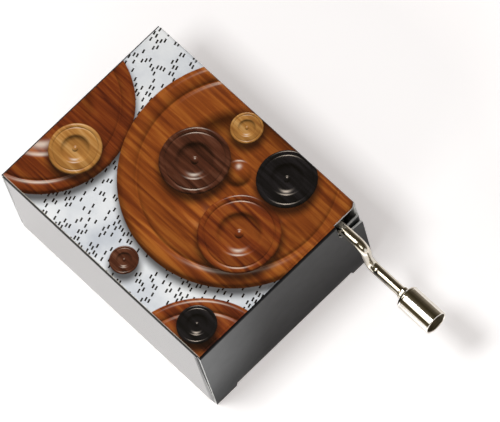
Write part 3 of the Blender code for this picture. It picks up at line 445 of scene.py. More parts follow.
def picture(tree, spot):
    """The printed picture: turned wooden dishes, some large, on a sheet of punched paper."""
    colour = punched_paper(tree, spot)
    for centre, radius, wood, turn in DISHES:
        colour = dish(tree, spot, colour, centre, radius, wood, turn)
    return colour


def printed_ink(tree, spot):
    """Black ink all over, and the picture on the lid.

    The picture sits askew: it runs over the fold at +Y and stops short of the one at -Y, where a
    pale painted highlight of the fold runs along its rim.
    """
    parts = add(tree, "SeparateXYZ", {0: spot})
    length = add(tree, "Math", {0: parts.outputs["X"]}, operation="ABSOLUTE")
    across = add(tree, "Math", {0: parts.outputs["Y"], 1: -1.0}, operation="MULTIPLY")
    end_reach = END / MM - PRINT_SHORT_X
    side_reach = SIDE / MM - PRINT_SHORT_Y
    inside = add(tree, "Math", {
        0: parts.outputs["Z"], 1: (HEIGHT - CREASE_RADIUS) / MM}, operation="GREATER_THAN")
    for size, reach in ((length, end_reach), (across, side_reach)):
        within = add(tree, "MapRange", {
            "Value": size, "From Min": reach + PRINT_EDGE, "From Max": reach - PRINT_EDGE})
        inside = add(tree, "Math", {0: inside, 1: within}, operation="MULTIPLY")
    # Painted highlight: a pale line along the picture's rim at -Y, where the fold catches the light
    rim = add(tree, "MapRange", {
        "Value": across, "From Min": side_reach - PAINTED_HIGHLIGHT_START,
        "From Max": side_reach - PAINTED_HIGHLIGHT_FULL, "To Max": PAINTED_HIGHLIGHT_SHARE})
    level = add(tree, "CombineXYZ", {"X": parts.outputs["X"], "Y": parts.outputs["Y"]})
    ink = picture(tree, level)
    ink = add(tree, "Mix", {"Factor": rim, "A": ink, "B": "c9bfae"}, data_type="RGBA")
    return add(tree, "Mix", {"Factor": inside, "A": BLACK_INK, "B": ink}, data_type="RGBA")


def laminated_board(name, printed, roughness, **film):
    """Coated board under film: the film gives an even, slightly wavy gloss over the ink."""
    material, tree, shader = finish(name, BLACK_INK, roughness, IOR=1.5, **film)
    spot = millimetres(tree)
    if printed:
        colour = printed_ink(tree, spot)
        tree.links.new(colour.outputs[2], shader.inputs["Base Color"])
    haze = add(tree, "TexNoise", {"Vector": spot, "Scale": FILM_WAVES_PER_MM, "Detail": 3.0})
    glossed(
        tree, shader, haze, roughness * (1.0 - FILM_GLOSS_SPREAD), roughness * (1.0 + FILM_GLOSS_SPREAD))
    waves = add(tree, "TexNoise", {"Vector": spot, "Scale": FILM_WAVES_PER_MM, "Detail": 1.0})
    bumped(tree, shader, waves, FILM_WAVE_DEPTH)
    return material


def raw_board():
    """Bleached paperboard, cut or on its plain side: white, matt, with fibres of a quarter mm."""
    material, tree, shader = finish("raw_paperboard_uncoated", "f0efec", 0.8)
    spot = millimetres(tree)
    fibres = add(tree, "TexNoise", {"Vector": spot, "Scale": 4.0, "Detail": 6.0, "Distortion": 1.5})
    tinted(tree, shader, fibres, [(0.3, "dcdad6"), (0.5, "efeeeb"), (0.7, "f8f7f5")])
    bumped(tree, shader, fibres, 0.02 * MM)
    return material


def bright_nickel(name, tints, stretch, haze_per_mm, gloss, depth):
    """Bright nickel plate on drawn steel: a slightly warm mirror with faint lines of the die.

    Real lines are too fine to show. They are drawn a fifth or a sixth of a millimetre apart.
    """
    material, tree, shader = finish(name, tints[1], gloss[0], 1.0)
    lines = add(tree, "TexNoise", {"Vector": millimetres(tree, stretch), "Scale": 1.0, "Detail": 4.0})
    haze = add(tree, "TexNoise", {"Vector": millimetres(tree), "Scale": haze_per_mm, "Detail": 3.0})
    glossed(tree, shader, haze, gloss[0], gloss[1], span=0.3)
    tinted(tree, shader, lines, [(0.3, tints[0]), (0.55, tints[1]), (0.75, tints[2])])
    bumped(tree, shader, lines, depth)
    return material


def machined(name, tints, roughness, stretch, depth):
    """A metal with tool marks: lines that run where the stretch is least.

    Like the nickel's lines, they are drawn coarser than real ones, so that they show.
    """
    material, tree, shader = finish(name, tints[1], roughness, 1.0)
    lines = add(tree, "TexNoise", {"Vector": millimetres(tree, stretch), "Scale": 1.0, "Detail": 5.0})
    tinted(tree, shader, lines, [(0.3, tints[0]), (0.5, tints[1]), (0.7, tints[2])])
    glossed(tree, shader, lines, roughness * 0.8, roughness * 1.3)
    bumped(tree, shader, lines, depth)
    return material


def cast_zinc():
    """Die-cast zinc: dull grey, with the die's grain a third of a mm wide, darker in its hollows."""
    material, tree, shader = finish("zinc_alloy_die_cast", "8f9194", 0.5, 1.0)
    grain = add(tree, "TexNoise", {"Vector": millimetres(tree), "Scale": 3.0, "Detail": 6.0})
    tinted(tree, shader, grain, [(0.3, "7c7e82"), (0.5, "929497"), (0.7, "a4a6a8")])
    bumped(tree, shader, grain, 0.03 * MM)
    return material


def moulded_acetal():
    """Moulded acetal: milky white with a soft sheen and faint flow marks over a millimetre long."""
    material, tree, shader = finish("acetal_moulded", "e2e0d8", 0.38, Subsurface_Weight=0.15)
    shader.inputs["Subsurface Radius"].default_value = (0.6 * MM, 0.5 * MM, 0.4 * MM)
    flow = add(tree, "TexNoise", {"Vector": millimetres(tree), "Scale": 0.8, "Detail": 2.0})
    tinted(tree, shader, flow, [(0.35, "dad7cd"), (0.65, "e8e6df")])
    bumped(tree, shader, flow, 0.01 * MM)
    return material


def fibreboard():
    """Medium-density fibreboard: matt brown, felted from fibres under half a mm, darker in flecks."""
    material, tree, shader = finish("fibreboard_sawn", "a5804f", 0.9)
    fibres = add(tree, "TexNoise", {
        "Vector": millimetres(tree, (1.0, 1.0, 2.2)), "Scale": 2.4, "Detail": 8.0, "Distortion": 1.0})
    tinted(tree, shader, fibres, [
        (0.28, "5c3f22"), (0.42, "8f6a3f"), (0.55, "aa8553"), (0.72, "c6a575")])
    bumped(tree, shader, fibres, 0.05 * MM)
    return material


# Shapes

def rounded(corners, radii, closed=True, steps=ARC_STEPS):
    """Corner points, each replaced by an arc of its radius. A radius of 0 keeps the corner."""
    points = []
    count = len(corners)
    for index, corner in enumerate(corners):
        radius = radii[index] if isinstance(radii, (list, tuple)) else radii
        is_end = not closed and index in (0, count - 1)
        if is_end or radius == 0:
            points.append(corner.copy())
            continue
        before = (corners[index - 1] - corner).normalized()
        after = (corners[(index + 1) % count] - corner).normalized()
        half = before.angle(after) / 2
        centre = corner + (before + after).normalized() * (radius / sin(half))
        first = (corner + before * (radius / tan(half)) - centre) / radius
        last = (corner + after * (radius / tan(half)) - centre) / radius
        sweep = pi - 2 * half
        side = (last - first * cos(sweep)) / sin(sweep)
        for step in range(steps + 1):
            angle = sweep * step / steps
            points.append(centre + (first * cos(angle) + side * sin(angle)) * radius)
    return points


def fold_points(start, corner, stop):
    """Points round a fold from one panel's edge to the next, with the corner between them."""
    centre = start + (stop - corner)
    points = []
    for step in range(ARC_STEPS + 1):
        angle = pi / 2 * step / ARC_STEPS
        points.append(centre + (start - centre) * cos(angle) + (stop - centre) * sin(angle))
    return points


def as_mesh(shape, name):
    """The built shape as a mesh."""
    mesh = bpy.data.meshes.new(name)
    shape.to_mesh(mesh)
    shape.free()
    return mesh


def piece(name, mesh, materials, location=(0.0, 0.0, 0.0), rotation=ALONG_Z):
    """A new object of these materials."""
    obj = bpy.data.objects.new(name, mesh)
    obj.location = location
    obj.rotation_euler = rotation
    bpy.context.scene.collection.objects.link(obj)
    mesh.materials.clear()
    for material in materials:
        mesh.materials.append(material)
    return obj


def smooth(mesh, angle=SHARP_ANGLE):
    """Smooth shading that keeps edges over the angle sharp."""
    mesh.shade_smooth()
    mesh.set_sharp_from_angle(angle=radians(angle))


def flat_panels(obj):
    """Keep large faces flat in shading, up to the small ones that round their edges."""
    normals = obj.modifiers.new("Flat panels", "WEIGHTED_NORMAL")
    normals.mode = "FACE_AREA"
    normals.weight = 100
    normals.keep_sharp = True


def body_of(node):
    """The name of the body that a node of the model rides on."""
    bodies = frame["record"]["behaviour"]["bodies"]
    return next(body for body, nodes in bodies.items() if node in nodes)


def stands_for(obj, node):
    """The piece takes a node's place, on the node's body."""
    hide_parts(node)
    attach(obj, body_of(node))


def eased(node, material, width, angle):
    """A node's own shape with its flat faces made whole, and its edges over the angle eased."""
    mesh = frame["nodes"][node].data.copy()
    shape = bmesh.new()
    shape.from_mesh(mesh)
    bmesh.ops.remove_doubles(shape, verts=shape.verts, dist=HAIR)
    bmesh.ops.dissolve_limit(
        shape, angle_limit=radians(1.0), use_dissolve_boundaries=False,
        verts=shape.verts, edges=shape.edges, delimit={"NORMAL"})
    shape.to_mesh(mesh)
    shape.free()
    smooth(mesh, angle)
    obj = piece(node + "_finished", mesh, (material,))
    edge = obj.modifiers.new("Eased edges", "BEVEL")
    edge.limit_method = "ANGLE"
    edge.angle_limit = radians(angle)
    edge.width = width
    edge.segments = 2
    edge.harden_normals = True
    stands_for(obj, node)


# Carton

def board(name, rows, panel, joined, material):
    """One leaf of board: a fold in rows of points and a flat panel that goes on from its last row.

    The points lie on the printed side. The board is as thick as it is inwards from there, and
    its cut edges are eased. joined(point) is true on the line where it goes on from its neighbour.
    """
    shape = bmesh.new()
    grid = [[shape.verts.new(point) for point in row] for row in rows]
    for row, following in zip(grid, grid[1:]):
        for spot in range(len(row) - 1):
            shape.faces.new((row[spot], row[spot + 1], following[spot + 1], following[spot]))
    if panel:
        outline = [shape.verts.new(point) for point in panel]
        shape.faces.new(grid[-1] + outline)
    middle = Vector((0.0, 0.0, HEIGHT / 2))
    bmesh.ops.recalc_face_normals(shape, faces=shape.faces)
    shape.normal_update()
    face = max(shape.faces, key=lambda entry: entry.calc_area())
    if face.normal.dot(face.calc_center_median() - middle) < 0:
        bmesh.ops.reverse_faces(shape, faces=shape.faces)
    weight = shape.edges.layers.float.new("bevel_weight_edge")
    for edge in shape.edges:
        if edge.is_boundary and not all(joined(vert.co) for vert in edge.verts):
            edge[weight] = 1.0
    mesh = as_mesh(shape, name)
    smooth(mesh)
    obj = piece(name, mesh, (material, RAW_BOARD))
    wall = obj.modifiers.new("Board", "SOLIDIFY")
    wall.thickness = BOARD
    wall.offset = -1.0
    wall.use_even_offset = True
    wall.material_offset = 1
    wall.material_offset_rim = 1
    edge = obj.modifiers.new("Cut edge", "BEVEL")
    edge.limit_method = "WEIGHT"
    edge.width = CUT_EDGE
    edge.segments = 2
    flat_panels(obj)
    return obj


def carton_shell():
    """Top, bottom and side panels in one strip. The bottom turns up in the glue flap."""
    inner = SIDE - LEAF
    corners = [Vector((-SIDE, 0.0)), Vector((-SIDE, HEIGHT))]
    corners += [Vector((SIDE - LID_CORNER * share, HEIGHT)) for share in LID_CORNER_ROWS]
    corners += [
        Vector((SIDE, HEIGHT)), Vector((SIDE, 0.0)), Vector((-inner, 0.0)),
        Vector((-inner, GLUE_FLAP_HEIGHT))]
    radii = [0, CREASE_RADIUS] + [0] * len(LID_CORNER_ROWS) + [CREASE_RADIUS] * 3 + [0]
    rows = []
    for y, z in rounded(corners, radii, closed=False):
        reach = front = WALL_END if BOARD < z < HEIGHT - BOARD else TUBE_END
        # The corner over the notch is free, and worn round
        turn = (y - SIDE + LID_CORNER) / LID_CORNER
        if turn > 0 and z > HEIGHT - BOARD:
            front -= LID_CORNER * (1.0 - sqrt(max(0.0, 1.0 - turn * turn)))
        front = max(front, WALL_END)
        # The crease at -Y has sprung a little: from the lid down, ever more of the wall leans in
        down = 1.0 - z / HEIGHT if y < HAIR - SIDE else 0.0
        bend = front - CREASE_RADIUS - SPRUNG_LENGTH * down
        rows.append([
            Vector((-reach, y, z)), Vector((bend, y, z)), Vector((front, y + SPRUNG_DEPTH * down, z))])

    def joined(point):
        return abs(point.x) > WALL_END - HAIR

    shell = board("carton_shell", rows, None, joined, PRINTED_BOARD)
    stands_for(shell, "carton_tube")


def closure(end_name, end):
    """End panel with its fold at the top. The one at the crank has the notch for the rod."""
    half = SIDE - CLOSURE_SIDE_GAP
    tongue = half - TUCK_SHOULDER
    fold = 2 * LEAF
    top = HEIGHT - LEAF
    right = SIDE - NOTCH_WIDTH if end > 0 else half
    rows = []
    for x, z in fold_points(
            Vector((TUBE_END, HEIGHT)), Vector((END, HEIGHT)), Vector((END, HEIGHT - LEAF))):
        rows.append([Vector((end * x, -half, z)), Vector((end * x, right, z))])
    corners = [Vector((right, top))]
    radii = [0]
    if end > 0:
        high = ROD_Z - ROD_RADIUS - NOTCH_UNDER_ROD
        corners += [Vector((right, high)), Vector((half, high - NOTCH_FALL))]
        radii += [NOTCH_RADIUS, CREASE_RADIUS]
    lower = [
        Vector((half, SHOULDER_LIP)), Vector((tongue, SHOULDER_LIP)),
        Vector((tongue - SHOULDER_SLANT, fold)), Vector((SHOULDER_SLANT - tongue, fold)),
        Vector((-tongue, SHOULDER_LIP)), Vector((-half, SHOULDER_LIP)), Vector((-half, top))]
    outline = rounded(corners + lower, radii + [0] * len(lower))[1:-1]
    panel = [Vector((end * END, y, z)) for y, z in outline]

    def joined(point):
        return abs(point.x) < TUBE_END + HAIR or abs(point.z - fold) < HAIR

    name = f"{end_name}_closure"
    leaf = board(name + "_panel", rows, panel, joined, END_BOARD)
    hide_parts(name)
    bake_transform(leaf)


def tuck_flap(end_name, end):
    """Flap at the closure's lower edge, folded in over the bottom panel."""
    half = TUCK_HIGH.y
    tongue = SIDE - CLOSURE_SIDE_GAP - TUCK_SHOULDER - SHOULDER_SLANT
    tip = TUCK_LOW.x
    rows = []
    points = fold_points(
        Vector((END, 2 * LEAF)), Vector((END, LEAF)), Vector((TUBE_END, LEAF)))
    for step, (x, z) in enumerate(points):
        reach = tongue + (half - tongue) * step / ARC_STEPS
        rows.append([Vector((end * x, -reach, z)), Vector((end * x, reach, z))])
    corners = [
        Vector((TUBE_END, half)), Vector((tip, half)), Vector((tip, -half)),
        Vector((TUBE_END, -half))]
    outline = rounded(corners, [0, TUCK_CORNER, TUCK_CORNER, 0])[1:-1]
    panel = [Vector((end * x, y, LEAF)) for x, y in outline]

    def joined(point):
        return abs(point.z - 2 * LEAF) < HAIR

    name = f"{end_name}_tuck_flap"
    leaf = board(name + "_panel", rows, panel, joined, BLACK_BOARD)
    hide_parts(name)
    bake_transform(leaf)


def dust_flap(end_name, end, side_name, side):
    """Flap folded in from one side panel, behind the closure. The one at the rod is cut back."""
    name = f"{end_name}_dust_flap_{side_name}"
    top = HEIGHT - LEAF
    tip = DUST_FLAP_LENGTH
    step_in = SIDE - TUCK_HIGH.y - LEAF
    fall = tan(DUST_FLAP_TAPER)
    drop = (tip - 2 * LEAF) * fall
    if end > 0 and side > 0:
        hinge_top = ROD_Z - ROD_RADIUS - RELIEF_UNDER_ROD
        upper = [(RELIEF_WIDTH, hinge_top), (RELIEF_WIDTH, top - (RELIEF_WIDTH - 2 * LEAF) * fall)]
    else:
        hinge_top = top
        upper = [(2 * LEAF, top)]
    corners = [(LEAF, hinge_top)] + upper + [
        (tip, top - drop), (tip, DUST_FLAP_STEP + drop / 2), (step_in, DUST_FLAP_STEP),
        (step_in, LEAF), (LEAF, LEAF)]
    # The die rounds the corners by multiples of the board's thickness
    radii = [0] + [0] * len(upper) + [1.5 * BOARD, 3 * BOARD, BOARD, BOARD, 0]
    outline = rounded([Vector(corner) for corner in corners], radii)[1:-1]
    panel = [Vector((end * TUBE_END, side * (SIDE - inward), z)) for inward, z in outline]
    rows = []
    points = fold_points(
        Vector((WALL_END, SIDE)), Vector((TUBE_END, SIDE)), Vector((TUBE_END, SIDE - LEAF)))
    for step, (x, y) in enumerate(points):
        sprung = SPRUNG_DEPTH * (1.0 - step / ARC_STEPS) if end > 0 > side else 0.0
        rows.append([
            Vector((end * x, side * (y - sprung), LEAF)), Vector((end * x, side * y, hinge_top))])

    def joined(point):
        return abs(point.x) < WALL_END + HAIR

    leaf = board(name + "_panel", rows, panel, joined, GLOSSY_BLACK_BOARD if side < 0 else BLACK_BOARD)
    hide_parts(name)
    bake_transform(leaf)


# Crank

def spaced(points, gap):
    """The points with more between them, so that none is much further than the gap from the next."""
    result = [points[0]]
    for start, stop in zip(points, points[1:]):
        count = max(1, round((stop - start).length / gap))
        result += [start.lerp(stop, step / count) for step in range(1, count + 1)]
    return result


def tool_marks(along, angle):
    """Height of the wire's face on the arm, where the bending tool pressed it. Never over 0."""
    arm = CRANK_THROW - 2 * CRANK_BEND_RADIUS + pi * CRANK_BEND_RADIUS
    share = along / arm
    if not MARKS_START < share < MARKS_END:
        return 0.0
    ripples = sin(RIPPLE_TURNS * share + RIPPLE_SWAY * cos(angle))
    ripples = ripples * cos(2 * angle + RIPPLE_TWIST * share) - 1.0
    ripples *= sin(pi * min(max(share, 0.0), 1.0)) ** 2
    pressed = sum(
        depth * exp(-((share - place) / reach) ** 2) for place, reach, depth in TOOL_PRESSES)
    return RIPPLE_DEPTH * ripples / 2 - pressed * max(0.0, sin(angle + PRESSED_SIDE)) ** 2


def pinched(x, angle):
    """Height of the wire's face where it was pinched flat, with an ear at each side for the knob."""
    place = (x - KNOB_X + PINCH_GAP) / PINCH_HALF_LENGTH
    reach = exp(-place ** PINCH_SQUARENESS)
    # The jaws' flat face, as far out as the wire's own face where the two meet
    upward = max(abs(cos(angle + PINCH_LEAN)), 0.1)
    flat = min(0.0, PINCH_HALF_HEIGHT / upward - ROD_RADIUS)
    return reach * (flat + EAR_HEIGHT * abs(sin(angle + PINCH_LEAN)) ** EAR_SHARPNESS)


def crank_rod():
    """Bent rod, round all along but for its marks and its pinch, with its ends turned down."""
    low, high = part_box("crank_rod")
    first = END + CRANK_INNER_REACH
    second = first + CRANK_ARM_LEAN
    corners = [
        Vector((low.x, 0.0)), Vector((first, 0.0)), Vector((second, -CRANK_THROW)),
        Vector((high.x, -CRANK_THROW))]
    path = rounded(corners, CRANK_BEND_RADIUS, closed=False, steps=BEND_STEPS)
    ease = Vector((ROD_END_EASE, 0.0))
    full = spaced([path[0] + ease] + path[1:-1] + [path[-1] - ease], ROD_RING_GAP)
    runs = [(path[0], ROD_RADIUS - ROD_END_EASE)]
    runs += [(point, ROD_RADIUS) for point in full]
    runs += [(path[-1], ROD_RADIUS - ROD_END_EASE)]
    shape = bmesh.new()
    rings = []
    gone = 0.0
    arm_start = (path[1] - path[0]).length
    for index, (point, radius) in enumerate(runs):
        before = runs[max(index - 1, 0)][0]
        after = runs[min(index + 1, len(runs) - 1)][0]
        gone += (point - before).length
        along = (after - before).normalized()
        across = Vector((-along.y, along.x))
        ring = []
        for spot in range(ROD_SIDES):
            angle = 2 * pi * spot / ROD_SIDES
            here = radius + tool_marks(gone - arm_start, angle)
            if point.y < -CRANK_THROW / 2:
                here += pinched(point.x, angle)
            lift = across * (here * cos(angle))
            ring.append(shape.verts.new((point.x + lift.x, here * sin(angle), point.y + lift.y)))
        rings.append(ring)
    for ring, following in zip(rings, rings[1:]):
        for spot in range(ROD_SIDES):
            beside = (spot + 1) % ROD_SIDES
            shape.faces.new((ring[spot], ring[beside], following[beside], following[spot]))
    shape.faces.new(rings[0])
    shape.faces.new(rings[-1])
    bmesh.ops.recalc_face_normals(shape, faces=shape.faces)
    mesh = as_mesh(shape, "crank_rod_plated")
    smooth(mesh)
    obj = piece("crank_rod_plated", mesh, (DRAWN_NICKEL,), (0.0, ROD_Y, ROD_Z))
    stands_for(obj, "crank_rod")


def arc(centre, radius, start, stop, steps=6):
    """(radius, height) points of a round edge of a turned profile."""
    points = []
    for step in range(steps + 1):
        angle = radians(start + (stop - start) * step / steps)
        points.append((centre[0] + radius * cos(angle), centre[1] + radius * sin(angle)))
    return points


def knob_profile():
    """(radius, height) points round the cup's wall, from its hole up inside and down outside."""
    bore = KNOB_RADIUS - KNOB_WALL
    hole = ROD_RADIUS + RUNNING_GAP
    rim = KNOB_RIM
    inner = KNOB_SHOULDER - KNOB_WALL
    groove = KNOB_RADIUS - KNOB_LINE_DEPTH
    profile = [(hole, KNOB_HOLE_EASE), (hole, KNOB_BASE)]
    profile += arc((bore - inner, KNOB_BASE + inner), inner, -90, 0)
    profile += arc((bore + rim, KNOB_LENGTH - rim), rim, 180, 90)
    profile += arc((KNOB_RADIUS - rim, KNOB_LENGTH - rim), rim, 90, 0)
    # A fine line stays where the cup was drawn over its die
    for radius, widths in ((KNOB_RADIUS, 3), (groove, 2), (groove, 1), (KNOB_RADIUS, 0)):
        profile.append((radius, KNOB_SHOULDER + widths * KNOB_LINE_WIDTH))
    profile += arc((KNOB_RADIUS - KNOB_SHOULDER, KNOB_SHOULDER), KNOB_SHOULDER, 0, -90, 12)
    profile += [(hole + KNOB_HOLE_EASE, 0.0)]
    return profile


def knob():
    """Drawn cup, closed towards the carton, with a rounded shoulder and a rolled rim."""
    shape = bmesh.new()
    verts = [shape.verts.new((radius, 0.0, height)) for radius, height in knob_profile()]
    edges = [shape.edges.new(pair) for pair in zip(verts, verts[1:] + verts[:1])]
    bmesh.ops.spin(
        shape, geom=verts + edges, axis=(0.0, 0.0, 1.0), cent=(0.0, 0.0, 0.0),
        angle=2 * pi, steps=KNOB_SIDES, use_merge=True)
    bmesh.ops.remove_doubles(shape, verts=shape.verts, dist=HAIR)
    bmesh.ops.recalc_face_normals(shape, faces=shape.faces)
    mesh = as_mesh(shape, "knob_cup")
    smooth(mesh, KNOB_SHARP_ANGLE)
    obj = piece("knob_cup", mesh, (SPUN_NICKEL, DULL_NICKEL), (KNOB_X, ROD_Y, KNOB_Z), ALONG_X)
    bore = KNOB_RADIUS - KNOB_WALL
    for face in mesh.polygons:
        middle = face.center
        is_inside = hypot(middle.x, middle.y) < bore + HAIR and middle.z > KNOB_BASE - HAIR
        face.material_index = int(is_inside)
    flat_panels(obj)
    stands_for(obj, "knob")


# Stage

def camera():
    """The camera at the photo's angle."""
    azimuth, elevation, roll = CAMERA_AZIMUTH, CAMERA_ELEVATION, CAMERA_ROLL
    back = Vector((
        sin(azimuth) * cos(elevation), -cos(azimuth) * cos(elevation), sin(elevation)))
    level = Vector((cos(azimuth), sin(azimuth), 0.0))
    upright = back.cross(level)
    right = level * cos(roll) + upright * sin(roll)
    up = upright * cos(roll) - level * sin(roll)
    data = bpy.data.cameras.new("camera")
    data.sensor_width = SENSOR_WIDTH
    data.lens = FOCAL_PIXELS * SENSOR_WIDTH / PHOTO_WIDTH
    obj = bpy.data.objects.new("camera", data)
    place = CAMERA_AIM + right * CAMERA_OFFSET[0] + up * CAMERA_OFFSET[1] + back * CAMERA_DISTANCE
    turn = Matrix((right, up, back)).transposed()
    obj.matrix_world = Matrix.Translation(place) @ turn.to_4x4()
    bpy.context.scene.collection.objects.link(obj)
    bpy.context.scene.camera = obj


def seen(tree):
    """1 for the rays that see the background: from the camera, off gloss and through glass."""
    path = add(tree, "LightPath")
    total = add(tree, "Math", {
        0: path.outputs["Is Camera Ray"], 1: path.outputs["Is Glossy Ray"]}, operation="ADD")
    return add(tree, "Math", {
        0: total, 1: path.outputs["Is Transmission Ray"]}, operation="ADD", use_clamp=True)


def bare_material(name):
    """A new material with nothing in its tree. Returns the material and the tree."""
    material = bpy.data.materials.new(name)
    material.use_nodes = True
    material.node_tree.nodes.clear()
    return material, material.node_tree


def only_in_gloss(obj):
    """Let nothing but gloss rays see the object."""
    obj.visible_camera = False
    obj.visible_diffuse = False
    obj.visible_transmission = False
    obj.visible_shadow = False
    obj.visible_volume_scatter = False


def floor():
    """Pale floor of white paper. It is brighter where it is seen than where it lights the object."""
    shape = bmesh.new()
    bmesh.ops.create_circle(shape, cap_ends=True, segments=96, radius=FLOOR_RADIUS)
    material, tree = bare_material("floor_white_paper")
    looked_at = seen(tree)
    colour = add(tree, "Mix", {
        "Factor": looked_at, "A": FLOOR_LIGHTING, "B": FLOOR_SEEN}, data_type="RGBA")
    diffuse = add(tree, "BsdfDiffuse", {"Color": colour})
    lift = add(tree, "MapRange", {"Value": looked_at, "To Min": 0.0, "To Max": FLOOR_LIFT})
    # Further out, where the lamp reaches less, the paper is as white as beside the object
    place = add(tree, "TexCoord")
    far = add(tree, "VectorMath", {0: place.outputs["Object"]}, operation="LENGTH")
    far = add(tree, "MapRange", {
        "Value": far, "From Min": FLOOR_NEAR, "From Max": FLOOR_FAR, "To Min": 1.0,
        "To Max": FLOOR_FAR_LIFT})
    lift = add(tree, "Math", {0: lift, 1: far}, operation="MULTIPLY")
    glow = add(tree, "Emission", {"Color": FLOOR_GLOW, "Strength": lift})
    both = add(tree, "AddShader", {0: diffuse, 1: glow})
    add(tree, "OutputMaterial", {"Surface": both})
    obj = piece("floor", as_mesh(shape, "floor"), (material,), (0.0, 0.0, -FLOOR_BELOW))


def tent():
    """Half a tunnel of dark cloth over the object along X, which only metal and film mirror.

    High on its -Y side it has two tapered windows.
    """
    shape = bmesh.new()
    rows = []
    for step in range(TENT_STEPS + 1):
        angle = pi * (step / TENT_STEPS - 0.5)
        rows.append([
            shape.verts.new((x, TENT_RADIUS * sin(angle), TENT_RADIUS * cos(angle)))
            for x in (-TENT_REACH, TENT_REACH)])
    for row, following in zip(rows, rows[1:]):
        shape.faces.new((row[0], row[1], following[1], following[0]))
    material, tree = bare_material("tent_cloth")
    place = add(tree, "TexCoord")
    parts = add(tree, "SeparateXYZ", {0: place.outputs["Object"]})
    angle = add(tree, "Math", {0: parts.outputs["Y"], 1: parts.outputs["Z"]}, operation="ARCTAN2")
    share = add(tree, "MapRange", {"Value": angle, "From Min": -pi / 2, "From Max": pi / 2})
    cloth = add(tree, "ValToRGB", {0: share}, stops=TENT_CLOTH)
    aside = add(tree, "Math", {0: share, 1: WINDOW_MIDDLE}, operation="SUBTRACT")
    aside = add(tree, "Math", {0: aside}, operation="ABSOLUTE")
    along = add(tree, "MapRange", {
        "Value": parts.outputs["X"], "From Min": -TENT_REACH, "From Max": TENT_REACH})
    wide = add(tree, "ValToRGB", {0: along}, stops=WINDOW_WIDTHS)
    wide = add(tree, "Math", {0: wide.outputs["Color"], 1: WINDOW_HALF}, operation="MULTIPLY")
    beyond = add(tree, "Math", {0: aside, 1: wide}, operation="SUBTRACT")
    window = add(tree, "MapRange", {
        "Value": beyond, "From Min": 0.0, "From Max": -WINDOW_EDGE}, interpolation_type="SMOOTHSTEP")
    daylight = add(tree, "ValToRGB", {0: window}, stops=DAYLIGHT)
    cloth = add(tree, "Mix", {
        "Factor": window, "A": cloth, "B": daylight.outputs["Color"]}, data_type="RGBA")
    glow = add(tree, "Emission", {"Color": cloth, "Strength": TENT_STRENGTH})
    add(tree, "OutputMaterial", {"Surface": glow})
    obj = piece("tent", as_mesh(shape, "tent"), (material,))
    only_in_gloss(obj)


def card():
    """Sheet on the floor before the end panel: white at -Y, clear elsewhere, and grey by the panel as
    painted shade.

    Only metal and film mirror it.
    """
    panel = END / MM
    x_low, x_high = [(panel + place) * MM for place in CARD_X]
    y_low, y_high = [place * MM for place in CARD_Y]
    shape = bmesh.new()
    shape.faces.new([shape.verts.new(spot) for spot in (
        (x_low, y_low, 0.0), (x_high, y_low, 0.0), (x_high, y_high, 0.0), (x_low, y_high, 0.0))])
    material, tree = bare_material("card_white")
    parts = add(tree, "SeparateXYZ", {0: millimetres(tree)})
    # The white ends along a slanted line, further in +Y as it leaves the panel
    slant = add(tree, "Math", {
        0: parts.outputs["X"], 1: -CARD_SLANT, 2: parts.outputs["Y"]}, operation="MULTIPLY_ADD")
    edge = -CARD_SLANT * panel
    white = add(tree, "MapRange", {
        "Value": slant, "From Min": edge + CARD_WHITE_UNTIL, "From Max": edge + CARD_CLEAR_FROM,
        "To Min": 1.0, "To Max": 0.0})
    # Painted shade: towards the panel the sheet turns grey and glows less
    painted_shade, strength = [
        add(tree, "MapRange", {
            "Value": parts.outputs["X"], "From Min": panel + places[0], "From Max": panel + places[1],
            "To Min": near, "To Max": far})
        for places, near, far in (
            (PAINTED_SHADE_PLACES, PAINTED_SHADE_SHARE, 1.0),
            (CARD_GLOW_PLACES, CARD_PAINTED_SHADE_GLOW * CARD_STRENGTH, CARD_STRENGTH))]
    clear = add(tree, "BsdfTransparent", {"Color": painted_shade})
    glow = add(tree, "Emission", {"Color": "ffffff", "Strength": strength})
    both = add(tree, "MixShader", {0: white, 1: clear, 2: glow})
    add(tree, "OutputMaterial", {"Surface": both})
    obj = piece("card", as_mesh(shape, "card"), (material,), (0.0, 0.0, CARD_ABOVE * MM))
    only_in_gloss(obj)


def lamp(name, azimuth, elevation, distance, size, power):
    """A soft square lamp that faces the object. Azimuth 0 is at the -Y side, 90 at the +X side."""
    data = bpy.data.lights.new(name, "AREA")
    data.shape = "SQUARE"
    data.size = size
    data.energy = power
    obj = bpy.data.objects.new(name, data)
    a, e = radians(azimuth), radians(elevation)
    away = Vector((sin(a) * cos(e), -cos(a) * cos(e), sin(e)))
    obj.location = CAMERA_AIM + away * distance
    obj.rotation_euler = away.to_track_quat("Z", "Y").to_euler()
    bpy.context.scene.collection.objects.link(obj)
    return obj


def world():
    """White where it is seen, and soft plain light elsewhere."""
    space = bpy.data.worlds.new("studio")
    bpy.context.scene.world = space
    space.use_nodes = True
    tree = space.node_tree
    tree.nodes.clear()
    strength = add(tree, "MapRange", {
        "Value": seen(tree), "To Min": AMBIENT, "To Max": 1.0})
    back = add(tree, "Background", {"Color": "ffffff", "Strength": strength})
    add(tree, "OutputWorld", {"Surface": back})


# Gloss film on the lid and the walls mirrors the studio. Satin film on the ends blurs it to a sheen
PRINTED_BOARD = laminated_board(
    "paperboard_printed_gloss_film", True, 0.1, Coat_Weight=0.45, Coat_Roughness=0.12)
END_BOARD = laminated_board(
    "paperboard_printed_satin_film", True, 0.3, Specular_IOR_Level=0.122)
BLACK_BOARD = laminated_board(
    "paperboard_black_satin_film", False, 0.42, Specular_IOR_Level=0.12)
GLOSSY_BLACK_BOARD = laminated_board(
    "paperboard_black_gloss_film", False, 0.25, Specular_IOR_Level=0.16)
RAW_BOARD = raw_board()
